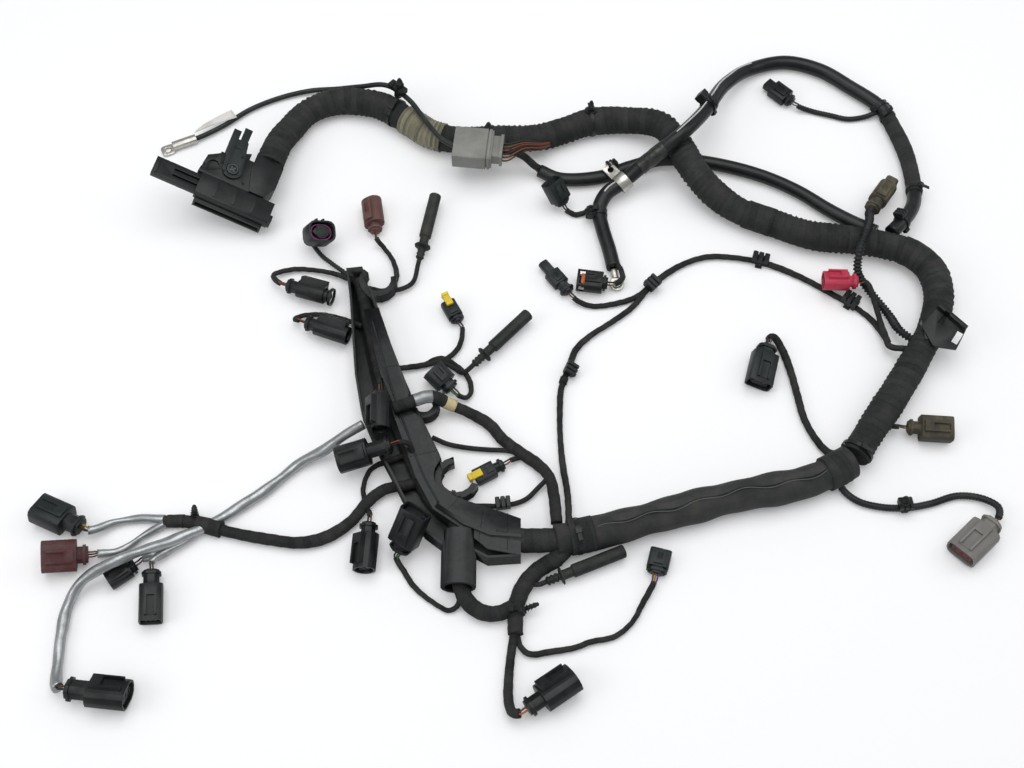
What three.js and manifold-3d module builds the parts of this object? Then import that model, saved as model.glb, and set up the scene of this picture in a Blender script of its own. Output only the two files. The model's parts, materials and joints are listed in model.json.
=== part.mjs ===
// Engine wiring harness laid out on a bench: looms, injector tray, control unit plug and sensor plugs.
// Millimetres, +Z up. The bench point under the middle of the layout is (0, 0) of every route below.
import * as THREE from 'three';
import Module from 'manifold-3d';
import { mergeVertices } from 'three/addons/utils/BufferGeometryUtils.js';

const wasm = await Module();
wasm.setup();

// Driving dimensions
const clearance = 0.3;
const benchOrigin = new THREE.Vector3(118, 20, 0);
const trunkUpperDiameter = 28;
const trunkLowerDiameter = 32;
const tapedLoomDiameter = 11;
const trayLoomDiameter = 14;
const dropLoomDiameter = 15;
const hoseLoopDiameter = 15;
const hoseLowerDiameter = 14;
const corrugatedDiameter = 8;
const branchDiameter = 6;
const leadDiameter = 5;
const silverSleeveDiameter = 10;
const earthCableDiameter = 5.5;
const trayHeight = 22;
const trayWall = 2;
const trayLidThickness = 2;
const hookBand = 6;
const hookHeight = 14;
const plugWall = 1.6;
const mouthDepth = 12;
const mouthMoat = 2.4;
const coreRecess = 2;
const bootDiameter = 12.6;
const bootLength = 64;
const bootNeckDiameter = 9.5;
const bootFlangeDiameter = 17;
const noseSlot = 3.2;
const bootBore = 3.8;
const tabTravel = 3;
const slideTravel = 40;

// Control unit plug, in its own frame: +X along the plug, +Y to its rear, +Z out of its broad face
const ecu = {
  place: [-291.7, 181.7, 19.8],
  heading: -14,
  dip: 23,
  length: 78,
  depth: 25,
  height: 22,
  wall: 2,
  mouthHeight: 9,
  mouthDepth: 14,
  rim: 3,
  slideWidth: 20,
  slideHeight: 8,
  slideOut: 46,
  slideIn: 10,
  coverHeight: 18,
  coverLift: 2.5,
  pivot: [-13, 41],
  pivotRadius: 6,
  armThickness: 2.4,
  leverReach: 50,
};

// Materials
const materials = {};
const finish = (name, color, roughness, metalness = 0) => {
  materials[name] = () => new THREE.MeshStandardMaterial({ name, color, roughness, metalness });
};
finish('tape', 0x2b2b2a, 0.85);
finish('hose', 0x242626, 0.45);
finish('silver_sleeve', 0x93969a, 0.45, 0.2);
finish('black_plastic', 0x262829, 0.5);
finish('grey_black_plastic', 0x3a3c3d, 0.5);
finish('brown_plastic', 0x5c3e39, 0.55);
finish('wine_plastic', 0x4b2c2c, 0.55);
finish('red_plastic', 0xb02f45, 0.45);
finish('light_grey_plastic', 0x8d8a86, 0.55);
finish('olive_plastic', 0x4b483f, 0.6);
finish('yellow_plastic', 0xd8b62a, 0.5);
finish('rubber', 0x2a2d2c, 0.7);
finish('aluminium_grey', 0x9b9c99, 0.5, 0.3);
finish('tin', 0xb6b4ac, 0.35, 0.9);
finish('khaki_wrap', 0x7d7f6c, 0.6, 0.2);

// Solids
const radians = THREE.MathUtils.degToRad;

function solid(geometry) {
  const bare = geometry.index ? geometry.toNonIndexed() : geometry.clone();
  bare.deleteAttribute('normal');
  bare.deleteAttribute('uv');
  const merged = mergeVertices(bare, 1e-4);
  return new wasm.Manifold(new wasm.Mesh({
    numProp: 3,
    vertProperties: new Float32Array(merged.attributes.position.array),
    triVerts: new Uint32Array(merged.index.array),
  }));
}

function joined(bodies) {
  return bodies.reduce((sum, body) => sum.add(body));
}

function largest(body) {
  return body.decompose().sort((a, b) => b.volume() - a.volume())[0];
}

function block(x0, x1, y0, y1, z0, z1) {
  const geometry = new THREE.BoxGeometry(x1 - x0, y1 - y0, z1 - z0);
  geometry.translate((x0 + x1) / 2, (y0 + y1) / 2, (z0 + z1) / 2);
  return solid(geometry);
}

function roundRect(width, height, radius, steps = 2) {
  const r = Math.min(radius, width / 2 - 0.01, height / 2 - 0.01);
  const corners = [[1, 1], [-1, 1], [-1, -1], [1, -1]];
  const points = corners.flatMap(([sx, sy], quarter) => Array.from({ length: steps + 1 }, (_, i) => {
    const angle = (quarter + i / steps) * (Math.PI / 2);
    return new THREE.Vector2(sx * (width / 2 - r) + r * Math.cos(angle),
      sy * (height / 2 - r) + r * Math.sin(angle));
  }));
  return new THREE.Shape(points);
}

function prism(shape, height, curveSegments = 4) {
  return solid(new THREE.ExtrudeGeometry(shape, { depth: height, bevelEnabled: false, curveSegments }));
}

// A section extruded along +X: the section's width lies along Y and its height along Z
function bar(section, from, to) {
  const geometry = new THREE.ExtrudeGeometry(section, { depth: to - from, bevelEnabled: false });
  geometry.applyMatrix4(new THREE.Matrix4().makeBasis(
    new THREE.Vector3(0, 1, 0), new THREE.Vector3(0, 0, 1), new THREE.Vector3(1, 0, 0)));
  geometry.translate(from, 0, 0);
  return solid(geometry);
}

// A turned form along +X, from [distance, radius] pairs
function turned(profile, sides = 12) {
  const points = [[profile[0][0], 0], ...profile, [profile.at(-1)[0], 0]];
  const geometry = new THREE.LatheGeometry(points.map(([x, r]) => new THREE.Vector2(r, x)), sides);
  geometry.rotateZ(-Math.PI / 2);
  return solid(geometry);
}

function disc(x, y, z0, z1, radius, sides = 16) {
  const geometry = new THREE.CylinderGeometry(radius, radius, z1 - z0, sides);
  geometry.rotateX(Math.PI / 2);
  geometry.translate(x, y, (z0 + z1) / 2);
  return solid(geometry);
}

// A cord's tube. With room it grows all round, on the same steps, to cut a clearance for the cord
function tube(points, diameter, sides = 8, stride = 2.6, room = 0) {
  const curve = new THREE.CatmullRomCurve3(points.map((p) => new THREE.Vector3(...p)), false,
    'centripetal');
  const steps = Math.max(2, Math.round(curve.getLength() / (diameter * stride)));
  const section = new THREE.Shape();
  for (let i = 0; i < sides; i += 1) {
    const angle = ((i + 0.5) * 2 * Math.PI) / sides;
    const radius = diameter / 2 + room * 1.1;
    const [x, y] = [radius * Math.cos(angle), radius * Math.sin(angle)];
    if (i) section.lineTo(x, y);
    else section.moveTo(x, y);
  }
  return solid(new THREE.ExtrudeGeometry(section, { steps, extrudePath: curve, bevelEnabled: false }));
}

function placed(body, at, heading = 0, pitch = 0, roll = 0) {
  const turn = new THREE.Euler(radians(roll), radians(-pitch), radians(heading), 'ZYX');
  const matrix = new THREE.Matrix4().makeRotationFromEuler(turn).setPosition(...at);
  return body.transform(matrix.elements);
}

function forward(heading, pitch) {
  const level = Math.cos(radians(pitch));
  return [level * Math.cos(radians(heading)), level * Math.sin(radians(heading)), Math.sin(radians(pitch))];
}

function along(point, direction, distance) {
  return point.map((value, i) => value + direction[i] * distance);
}

// The group and its nodes
const harness = new THREE.Group();
const bench = new THREE.Group();
bench.position.copy(benchOrigin);
harness.add(bench);

function node(name, body, material) {
  const { vertProperties, triVerts, numProp } = body.getMesh();
  const position = new Float32Array((vertProperties.length / numProp) * 3);
  for (let i = 0; i < position.length / 3; i += 1) {
    for (let k = 0; k < 3; k += 1) position[i * 3 + k] = vertProperties[i * numProp + k];
  }
  const geometry = new THREE.BufferGeometry();
  geometry.setAttribute('position', new THREE.BufferAttribute(position, 3));
  geometry.setIndex(new THREE.BufferAttribute(new Uint32Array(triVerts), 1));
  geometry.computeVertexNormals();
  const mesh = new THREE.Mesh(geometry, materials[material]());
  mesh.name = name;
  bench.add(mesh);
  return mesh;
}

// Sensor and injector plugs. In a plug's own frame the lead enters at the origin, +X runs to the mouth
// and +Z is the latch side.
const plugs = {
  magenta_seal_plug: {
    at: [-203, 162, 11], heading: -28, pitch: 58, roll: -52,
    body: [20, 28, 22, 7], neck: [7, 14, 12], latch: [9, 3], color: 'grey_black_plastic',
  },
  brown_plug: {
    at: [-140, 170, 10.2], heading: 99, roll: -30,
    body: [30, 22, 17, 9], neck: [9, 11, 11], latch: [9, 3], color: 'brown_plastic',
  },
  injector_plug_1: {
    at: [-225, 105, 12], heading: -17, roll: -55,
    body: [36, 20, 18, 9], neck: [12, 12, 12], latch: [12, 4.5], windows: true, color: 'black_plastic',
  },
  injector_plug_2: {
    at: [-203, 61.4, 13], heading: -20, roll: -55,
    body: [34, 20, 18, 9], neck: [11, 12, 12], latch: [13, 4.5], color: 'black_plastic',
  },
  injector_plug_3: {
    at: [-124, -26, 34.6], heading: -88, roll: 55,
    body: [34, 20, 18, 9], neck: [5, 12, 12], latch: [12, 4], color: 'black_plastic',
  },
  injector_plug_4: {
    at: [-112, -80, 34], heading: 193, pitch: -12, roll: -20,
    body: [30, 26, 19, 9], neck: [22, 14, 13], latch: [12, 3.5], color: 'black_plastic',
  },
  yellow_tab_plug_1: {
    at: [-53, 66, 7], heading: 118,
    body: [18, 15, 12, 3], neck: [6, 11, 9], latch: [8, 1.6], tab: true, color: 'grey_black_plastic',
  },
  round_lock_plug: {
    at: [-58, -10, 9], heading: 136, pitch: 12,
    body: [19, 24, 17, 8], neck: [8, 14, 12], latch: [9, 3], color: 'grey_black_plastic',
  },
  yellow_tab_plug_2: {
    at: [-8, -88, 7], heading: 209,
    body: [20, 16, 12, 3], neck: [10, 10, 9], latch: [8, 1.6], tab: true, color: 'grey_black_plastic',
  },
  barrel_plug: {
    at: [-131, -149, 11], heading: -93, roll: 40,
    body: [34, 22, 19, 9], neck: [11, 13, 13], latch: [11, 4], color: 'black_plastic',
  },
  blue_line_plug: {
    at: [-102, -176, 13], heading: 58, pitch: 45, roll: 0,
    body: [34, 27, 20, 4], neck: [10, 17, 13], latch: [12, 2.5], color: 'black_plastic',
  },
  small_purple_plug: {
    at: [130, -196, 7], heading: 75,
    body: [17, 20, 12, 3], neck: [6, 16, 9], latch: [9, 2], color: 'grey_black_plastic',
  },
  lower_barrel_plug: {
    at: [13, -319, 14], heading: 34, roll: -40,
    body: [34, 30, 21, 10], neck: [15, 15, 13], latch: [14, 4], color: 'black_plastic',
  },
  printed_side_plug: {
    at: [-394, -153, 12.2], heading: 156, roll: 18,
    body: [32, 28, 19, 5], neck: [15, 17, 13], latch: [12, 2.5], color: 'grey_black_plastic',
  },
  red_core_plug: {
    at: [-384, -179, 11], heading: 188, pitch: 12, roll: -25,
    body: [30, 29, 20, 7], neck: [10, 15, 13], latch: [12, 2.5], color: 'wine_plastic',
  },
  hidden_latch_plug: {
    at: [-341, -187, 7.5], heading: 217,
    body: [22, 17, 13, 4], neck: [6, 12, 10], latch: [10, 2], color: 'black_plastic',
  },
  slotted_latch_plug: {
    at: [-325, -194, 10], heading: -84, roll: -10,
    body: [34, 21, 16, 4], neck: [14, 14, 12], latch: [11, 3], color: 'black_plastic',
  },
  corner_plug: {
    at: [-384, -302, 13.6], heading: -6, roll: -35,
    body: [34, 30, 20, 9], neck: [20, 17, 15], latch: [15, 4], color: 'black_plastic',
  },
  upright_plug: {
    at: [53, 205, 10], heading: 135, pitch: 50, roll: 0,
    body: [22, 21, 18, 5], neck: [6, 13, 11], latch: [9, 2], color: 'grey_black_plastic',
  },
  window_plug: {
    at: [96, 108, 10.5], heading: 172, roll: 0,
    body: [26, 21, 15, 4], neck: [5, 13, 10], latch: [10, 2], windows: true, color: 'black_plastic',
  },
  slim_plug: {
    at: [57, 100, 7], heading: 127,
    body: [16, 17, 12, 4], neck: [12, 12, 10], nose: [15, 10, 8], latch: [8, 1.6],
      color: 'grey_black_plastic',
  },
  top_plug: {
    at: [304, 340, 7], heading: 135,
    body: [20, 19, 12, 3], neck: [7, 12, 9], nose: [9, 13, 9], latch: [10, 2], color: 'black_plastic',
  },
  dusty_plug: {
    at: [368, 189, 23], heading: 56, pitch: -11,
    body: [28, 19, 16, 6], neck: [14, 13, 12], nose: [11, 13, 10], latch: [10, 2], color: 'olive_plastic',
  },
  red_plug: {
    at: [345, 106, 17.5], heading: 178, roll: 15,
    body: [25, 20, 16, 7], neck: [9, 13, 11], latch: [11, 3], color: 'red_plastic',
  },
  leaning_plug: {
    at: [250, 36, 11], heading: -106, roll: -14,
    body: [34, 26, 17, 4], neck: [10, 16, 13], latch: [12, 2.5], color: 'grey_black_plastic',
  },
  right_edge_plug: {
    at: [375, -52, 12], heading: -4, roll: 12,
    body: [30, 24, 18, 4], neck: [12, 12, 11], latch: [10, 3], color: 'olive_plastic',
  },
  light_grey_plug: {
    at: [441, -148, 12], heading: 222, roll: 10,
    body: [36, 30, 19, 6], neck: [11, 17, 14], latch: [13, 3], color: 'light_grey_plastic',
  },
};

const tabBlock = { length: 14, seat: 7, width: 7, height: 3.4 };

function plugBody({ body, neck, latch, windows, nose, tab }) {
  const [length, width, height, radius] = body;
  const [neckLength, neckWidth, neckHeight] = neck;
  const end = neckLength + length;
  const neckPart = bar(roundRect(neckWidth, neckHeight, 4, 1), 0, neckLength + 1);
  const collar = bar(roundRect(neckWidth + 3, neckHeight + 3, 4, 1), 2, 4.5);
  let shell = bar(roundRect(width, height, radius, radius > 6 ? 3 : 2), neckLength, end);
  const [latchWidth, latchHeight] = latch;
  const top = height / 2 + latchHeight;
  const railEnd = tab ? end - tabBlock.seat - tabTravel - 1 : end - 4;
  const rail = block(neckLength + 2, railEnd, -latchWidth / 2, latchWidth / 2, 0, top);
  const slot = block(neckLength + length * 0.35, end, -latchWidth / 2 + 2, latchWidth / 2 - 2,
    height / 2 + 0.6, top + 1);
  shell = shell.add(rail).subtract(slot);
  const mouthFloor = end - Math.min(mouthDepth, length * 0.6);
  const inner = bar(roundRect(width - 2 * plugWall, height - 2 * plugWall, radius - plugWall + 0.5),
    mouthFloor, end + 1);
  const coreWidth = width - 2 * (plugWall + mouthMoat);
  const coreHeight = height - 2 * (plugWall + mouthMoat);
  const core = bar(roundRect(coreWidth, coreHeight, Math.min(coreHeight / 2, radius), 1),
    mouthFloor - 1, end - coreRecess);
  shell = shell.subtract(inner);
  if (windows) {
    const side = block(end - 8, end - 2.4, -width / 2 + 3, width / 2 - 3, -height, height);
    const ends = block(end - 8, end - 2.4, -width, width, -height / 2 + 3, height / 2 - 3);
    shell = shell.subtract(side).subtract(ends);
  }
  let plug = joined([neckPart, collar, shell, core]);
  if (nose) {
    const [noseLength, noseWidth, noseHeight] = nose;
    const outer = bar(roundRect(noseWidth, noseHeight, 2, 1), end - coreRecess - 1, end + noseLength);
    const bore = bar(roundRect(noseWidth - 3, noseSlot, 1, 1), end + 1, end + noseLength + 1);
    plug = plug.add(outer.subtract(bore));
  }
  return plug;
}

for (const [name, spec] of Object.entries(plugs)) {
  const pose = [spec.at, spec.heading, spec.pitch ?? 0, spec.roll ?? 0];
  node(name, placed(plugBody(spec), ...pose), spec.color);
  if (spec.tab) {
    const start = spec.neck[0] + spec.body[0] - tabBlock.seat;
    const base = spec.body[2] / 2 + clearance;
    const tab = block(start, start + tabBlock.length, -tabBlock.width / 2, tabBlock.width / 2,
      base, base + tabBlock.height);
    const finger = block(start + tabBlock.length - 3, start + tabBlock.length, -tabBlock.width / 2,
      tabBlock.width / 2,
      base - 3, base + tabBlock.height + 1.2);
    node(name.replace('plug', 'slider'), placed(tab.add(finger), ...pose), 'yellow_plastic');
  }
}

const inline = {
  at: [-60, 258, 37], heading: -6, length: 51, width: 40, height: 20, wall: 2, mouth: 14,
};

// Where each lead ends: just behind its plug, in line with it
function tail(name, distance = 8) {
  const { at, heading, pitch = 0 } = plugs[name];
  const back = forward(heading, pitch);
  return [along(at, back, -distance), along(at, back, -clearance)];
}

// Rubber boots of the glow plug leads: a long sleeve, its neck, a round flange and bellows at the lead
const boots = {
  boot_1: { at: [-94, 138, 9], heading: 79, pitch: 3 },
  boot_2: { at: [-37, 17, 9], heading: 46, pitch: 2 },
  boot_3: { at: [31, -204, 9], heading: 22, pitch: 1 },
};
const bellows = { count: 3, pitch: 4, outer: 4.4, inner: 3.2 };

function bootBody() {
  const profile = [[0, bellows.inner]];
  for (let i = 0; i < bellows.count; i += 1) {
    const start = 1 + i * bellows.pitch;
    profile.push([start + 0.6, bellows.outer], [start + 1.6, bellows.outer], [start + 2.4, bellows.inner]);
  }
  const neckStart = 1 + bellows.count * bellows.pitch;
  profile.push([neckStart, bellows.inner + 0.6], [neckStart + 1, bootFlangeDiameter / 2],
    [neckStart + 2.4, bootFlangeDiameter / 2], [neckStart + 2.8, bootNeckDiameter / 2],
    [neckStart + 12, bootNeckDiameter / 2], [neckStart + 13, bootDiameter / 2],
    [neckStart + bootLength - 1, bootDiameter / 2], [neckStart + bootLength, bootDiameter / 2 - 1.2]);
  const hole = turned([[neckStart + bootLength - 14, bootBore / 2],
    [neckStart + bootLength + 1, bootBore / 2]], 8);
  return turned(profile, 10).subtract(hole);
}

for (const [name, { at, heading, pitch }] of Object.entries(boots)) {
  node(name, placed(bootBody(), at, heading, pitch), 'rubber');
}

function bootTail(name, distance = 7) {
  const { at, heading, pitch } = boots[name];
  const back = forward(heading, pitch);
  return [along(at, back, -distance), along(at, back, -clearance)];
}

// Injector tray: an open channel in plan, with three hooks, an outlet spout and a lid
const trayOutline = [
  [-166, 119], [-150, 121], [-138, 90], [-129, 66], [-117, 31], [-102, -8], [-84, -50], [-67, -86],
  [-58, -114], [-44, -131], [-14, -141], [10, -150], [38, -152], [38, -182], [8, -184], [-22, -186],
  [-40, -176], [-62, -174], [-80, -160], [-97, -134], [-112, -104], [-128, -74], [-143, -40],
  [-151, 0], [-156, 44], [-161, 88],
];
const hooks = [
  { centre: [-134, 108], radius: 13, from: 140, to: 375 },
  { centre: [-84, -30], radius: 9, from: 190, to: 400 },
  { centre: [-51, -106], radius: 15, from: 100, to: 340 },
];
const spout = { start: [-48, -160, 16], end: [-48, -212, 16], outer: 32, inner: 25 };

function outlineShape(points) {
  return new THREE.Shape(points.map(([x, y]) => new THREE.Vector2(x, y)));
}

// The outline moved inwards by a wall, from the bisector at each corner
function inset(points, distance) {
  const count = points.length;
  return points.map((point, i) => {
    const before = points[(i + count - 1) % count];
    const after = points[(i + 1) % count];
    const a = new THREE.Vector2(point[0] - before[0], point[1] - before[1]).normalize();
    const b = new THREE.Vector2(after[0] - point[0], after[1] - point[1]).normalize();
    const normal = new THREE.Vector2(a.y + b.y, -(a.x + b.x)).normalize();
    const reach = distance / Math.max(0.5, normal.dot(new THREE.Vector2(a.y, -a.x)));
    return [point[0] + normal.x * reach, point[1] + normal.y * reach];
  });
}

function hookBody({ centre, radius, from, to }) {
  const shape = new THREE.Shape();
  const [x, y] = centre;
  shape.absarc(x, y, radius + hookBand, radians(from), radians(to), false);
  shape.absarc(x, y, radius, radians(to), radians(from), true);
  return prism(shape, hookHeight, 5).translate([0, 0, (trayHeight - hookHeight) / 2]);
}

// Looms and leads. The route points are the cords' own, chosen along the real ones.
const routes = {
  trunkUpper: [[-253.3, 245.2, 22.5], [-249.6, 260, 22.5], [-245, 278, 19], [-235, 298, 15],
    [-219, 320, 14.4], [-191, 334, 14.4], [-164, 334, 14.4], [-137, 327, 14.4], [-109, 307, 14.4],
    [-87, 291, 14.4], [-55, 283, 14.4], [-13, 284, 14.4], [30, 287, 14.4], [56, 296, 14.4],
    [83, 307, 14.4], [121, 308, 16], [156, 295, 25], [174, 266, 29.2], [188, 235, 28], [208, 212, 20],
    [232, 194, 15], [265, 179, 14.4], [304, 163, 14.4], [344, 157, 15], [379, 150, 16], [404, 139, 17],
    [421, 119, 17], [424, 93, 17], [413, 56, 17], [390, 16, 17], [365, -22, 17], [339, -57, 17],
    [320, -84, 17]],
  trunkLower: [[315, -90, 17], [297, -100, 17], [266, -112, 16], [229, -120, 16], [191, -128, 16],
    [154, -138, 16], [117, -149, 16], [80, -159, 16], [46, -166, 16], [30, -169, 16]],
  earth: [[-59.5, 257.95, 37], [-74, 268, 37], [-92, 294, 36], [-110, 322, 34], [-135, 344, 30],
    [-164, 352, 18], [-192, 357, 8], [-220, 357, 5], [-253, 348, 4], [-284, 332, 4], [-309, 311, 4.5],
    [-328, 297.8, 5], [-338, 292.4, 5], [-346.5, 288.6, 5]],
  hoseLower: [[29, 248, 8], [50, 238, 7.4], [92, 240, 7.4], [125, 253, 7.4], [157, 263, 7.4],
    [188, 262, 7.4], [220, 256, 7.4], [251, 246, 8], [276, 235, 8], [301, 220, 8], [329, 198, 8],
    [352, 181, 10], [372, 168, 13]],
  hoseLoop: [[103, 128, 8], [99, 150, 8], [93, 176, 8], [90, 198, 9], [98, 215, 13], [115, 226, 18.5],
    [133, 238, 28], [152, 248, 41], [175, 262, 53], [200, 294, 47], [229, 348, 26], [262, 383, 10],
    [301, 394, 8], [338, 383, 8], [369, 359, 8], [398, 332, 8], [410, 301, 8], [418, 268, 8],
    [420, 228, 9], [416, 205, 14], [408, 188, 20], [396, 172, 24], [384, 160, 24]],
  corrugated: [[362, 172, 31], [354, 151, 38], [346, 130, 34], [346, 116, 20], [354, 108, 9],
    [365, 92, 6], [375, 72, 8], [381, 52, 14], [396, 36, 17]],
  longBranch: [[392, 30, 16], [370, 35, 12], [368, 48, 7], [358, 70, 3.2], [343, 85, 3.2],
    [325, 98, 3.2], [292, 120, 3.2], [258, 136, 3.2], [223, 143, 4], [197, 143, 4], [171, 133, 4],
    [141, 110, 4], [120, 84, 4], [99, 67, 4], [77, 51, 4], [63, 36, 4], [56, 17, 4], [48, -6, 4],
    [46, -32, 4], [46, -62, 4], [48, -90, 4], [51, -112, 6], [52, -130, 10], [52, -150, 13]],
  midBranch: [[-112, -41, 30.6], [-101, -37, 30.8], [-92, -33, 30.6], [-76, -27, 27], [-60, -29, 15],
    [-38, -36, 7], [-21, -47, 6], [-9, -62, 6], [8, -76, 6], [24, -88, 6], [35, -104, 12],
    [39, -124, 13], [41, -150, 14]],
  silverLeft: [[-139, -57, 29], [-156, -66, 25], [-175, -76, 14], [-199, -87, 7], [-225, -110, 6],
    [-251, -130, 6], [-276, -147, 6]],
  leftLoom: [[-82, -104, 9], [-98, -110, 8.5], [-112, -112, 8], [-122, -116, 8], [-134, -126, 6],
    [-149, -146, 6], [-171, -161, 6], [-194, -166, 6], [-221, -163, 6], [-257, -156, 6],
    [-282, -149, 6], [-301, -145, 6], [-320, -145, 6]],
  sleevePrinted: [[-320, -143, 6], [-343, -142, 5], [-365, -146, 6]],
  sleeveRedCore: [[-318, -147, 6], [-337, -158, 5], [-349, -168, 5], [-362, -175, 6]],
  sleeveHidden: [[-285, -150, 7], [-303, -166, 6], [-320, -180, 7]],
  sleeveSlotted: [[-282, -151, 7], [-300, -166, 7], [-322, -180, 9]],
  sleeveCorner: [[-280, -150, 7], [-312, -168, 13], [-337, -181, 22], [-363, -194, 23],
    [-386, -206, 13], [-397, -225, 6], [-399, -250, 6], [-398, -275, 6], [-396, -292, 9]],
  trayLoom: [[-154, 113, 8.5], [-150, 100, 8], [-143, 70, 8], [-133, 30, 8], [-120, -15, 8],
    [-106, -55, 8], [-90, -95, 8], [-74, -126, 9], [-50, -148, 12], [-10, -160, 13], [36, -167, 14],
    [46, -166, 14]],
  trayOutlet: [[-52, -148, 14], [-48, -170, 16], [-47, -206, 14], [-40, -222, 9], [-27, -232, 8],
    [-12, -233, 8], [3, -226, 8]],
  dropLoom: [[52, -170, 13], [40, -183, 11], [24, -193, 9.5], [12, -206, 8.4], [5, -222, 8],
    [3, -238, 8], [3, -252, 8]],
  leadLowerBarrel: [[2, -250, 6], [-1, -270, 4], [-3, -292, 4.2], [-3, -310, 6], [0, -321, 10]],
  leadSmallPurple: [[4, -249, 5], [8, -263, 4], [16, -269, 4], [33, -267, 4], [56, -263, 4],
    [69, -258, 4], [91, -253, 4], [107, -240, 4], [117, -223, 4]],
  leadBoot3: [[8, -208, 8], [16, -206, 8]],
  leadSlim: [[142, 112, 4], [124, 96, 3.2], [100, 88, 3], [80, 86, 3], [67, 90, 5]],
  leadUpright: [[90, 203, 8], [78, 199, 4], [66, 196, 3]],
  leadLeaning: [[312, -82, 12], [299, -75, 5], [288, -59, 4], [280, -39, 4], [276, -14, 4],
    [272, 11, 4], [266, 35, 4], [258, 48, 8]],
  leadRightEdge: [[352, -50, 12], [360, -51, 12]],
  leadLightGrey: [[302, -96, 12], [308, -112, 5], [321, -124, 4], [341, -130, 4], [364, -131, 4],
    [388, -127, 4], [415, -119, 4], [437, -122, 5], [449, -132, 9]],
  leadTop: [[393, 325, 8], [381, 322, 4], [363, 320, 3], [344, 325, 3], [324, 331, 3]],
  leadRed: [[369, 40, 11], [364, 62, 12], [360, 84, 15], [357, 99, 17]],
  leadMagenta: [[-154, 104, 8], [-168, 122, 6], [-182, 134, 5], [-195, 146, 4]],
  leadBrown: [[-146, 104, 8], [-127, 101, 8], [-117, 116, 6], [-121, 138, 5], [-131, 154, 5]],
  leadBoot1: [[-128, 101, 8], [-112, 104, 6], [-100, 112, 6]],
  leadInjector1: [[-154, 110, 8], [-179, 122, 6], [-200, 127, 5], [-222, 128, 5], [-241, 120, 7]],
  leadInjector2: [[-148, 60, 8], [-168, 70, 5], [-190, 75, 5], [-209, 73, 6], [-215, 67, 10]],
  leadInjector3: [[-121, -6, 9], [-126, -5, 18], [-127, -9, 29]],
  leadInjector4: [[-92, -88, 9], [-92, -84, 20], [-96, -78, 32]],
  leadWindow: [[106, 131, 12], [110, 122, 12.5], [111, 113, 12]],
  leadInline: [[34, 247, 8], [24, 250, 14], [12, 252, 28]],
  leadYellow1: [[-126, 10, 8], [-109, 14, 6], [-85, 19, 4], [-64, 26, 4], [-52, 40, 4]],
  leadRoundLock: [[-85, 19, 4], [-70, 26, 4], [-54, 18, 3], [-42, 4, 3], [-40, -12, 4], [-45, -18, 6]],
  leadBoot2: [[-72, 25, 4], [-56, 15, 4], [-48, 9, 6]],
  leadBarrel: [[-96, -78, 8], [-112, -83, 6], [-132, -92, 5], [-139, -112, 4], [-134, -132, 5]],
  leadBlueLine: [[-46, -210, 12], [-48, -224, 6], [-56, -229, 3], [-70, -222, 3], [-88, -207, 3],
    [-98, -192, 3]],
  leadYellow2: [[26, -92, 6], [16, -83, 4], [8, -80, 4]],
  twisted: [[-76, -60, 6], [-61, -66, 4], [-42, -70, 4], [-22, -72, 4], [-4, -73, 4], [12, -79, 6]],
  clipLead: [[-38, -129, 4], [-24, -129, 4], [-9, -129, 4], [12, -123, 4], [26, -110, 6], [35, -102, 10]],
};

const trunkUpper = tube(routes.trunkUpper, trunkUpperDiameter, 10, 1.5);
const trunkUpperRoom = tube(routes.trunkUpper, trunkUpperDiameter, 10, 1.5, clearance);
const trayEnd = 38;

function trunkLowerBody(room) {
  return tube(routes.trunkLower, trunkLowerDiameter, 10, 1.5, room)
    .subtract(block(0, trayEnd + clearance - room, -210, -120, -20, 60));
}

const trunkLower = trunkLowerBody(0);
const trunkLowerRoom = trunkLowerBody(clearance);

function lead(route, ends, diameter = leadDiameter, room = 0) {
  return tube([...routes[route], ...ends], diameter, 8, 3.4, room);
}

function clearOf(body, ...rooms) {
  return largest(rooms.reduce((left, room) => left.subtract(room), body));
}

const trayBranches = [
  ['leadMagenta', tail('magenta_seal_plug')], ['leadBrown', tail('brown_plug')],
  ['leadBoot1', bootTail('boot_1')], ['leadInjector1', tail('injector_plug_1')],
  ['leadInjector2', tail('injector_plug_2')], ['leadInjector3', tail('injector_plug_3', 7)],
  ['leadInjector4', tail('injector_plug_4', 7)], ['leadYellow1', tail('yellow_tab_plug_1')],
  ['leadRoundLock', tail('round_lock_plug')], ['leadBoot2', bootTail('boot_2')],
  ['leadBarrel', tail('barrel_plug')], ['leadBlueLine', tail('blue_line_plug')],
];

function trayLoomBody(room) {
  const main = tube(routes.trayLoom, trayLoomDiameter, 8, 2.2, room);
  const outlet = tube(routes.trayOutlet, trayLoomDiameter, 8, 1.4, room);
  const leads = trayBranches.map(([route, ends]) => lead(route, ends, leadDiameter, room));
  return joined([main, outlet, ...leads]);
}

const trayRoom = trayLoomBody(clearance);

function trayBody() {
  const outer = prism(outlineShape(trayOutline), trayHeight);
  const channel = prism(outlineShape(inset(trayOutline, trayWall)), trayHeight).translate([0, 0, trayWall]);
  const pipe = tube([spout.start, spout.end], spout.outer, 14);
  const bore = tube([[spout.start[0], spout.start[1] + 8, spout.start[2]],
    [spout.end[0], spout.end[1] - 1, spout.end[2]]], spout.inner, 14);
  const hollows = joined(hooks.map(({ centre, radius }) => disc(...centre, -1, trayHeight + 1, radius, 20)));
  return joined([joined([outer, pipe]).subtract(channel).subtract(hollows), ...hooks.map(hookBody)])
    .subtract(bore);
}

const lidOutline = [
  [-146, 70], [-131, 72], [-117, 31], [-102, -8], [-84, -50], [-67, -86], [-58, -114], [-44, -131],
  [-14, -141], [10, -150], [38, -152], [38, -182], [8, -184], [-22, -178], [-46, -158], [-72, -140],
  [-89, -108], [-104, -66], [-120, -22], [-134, 28],
];

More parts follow.
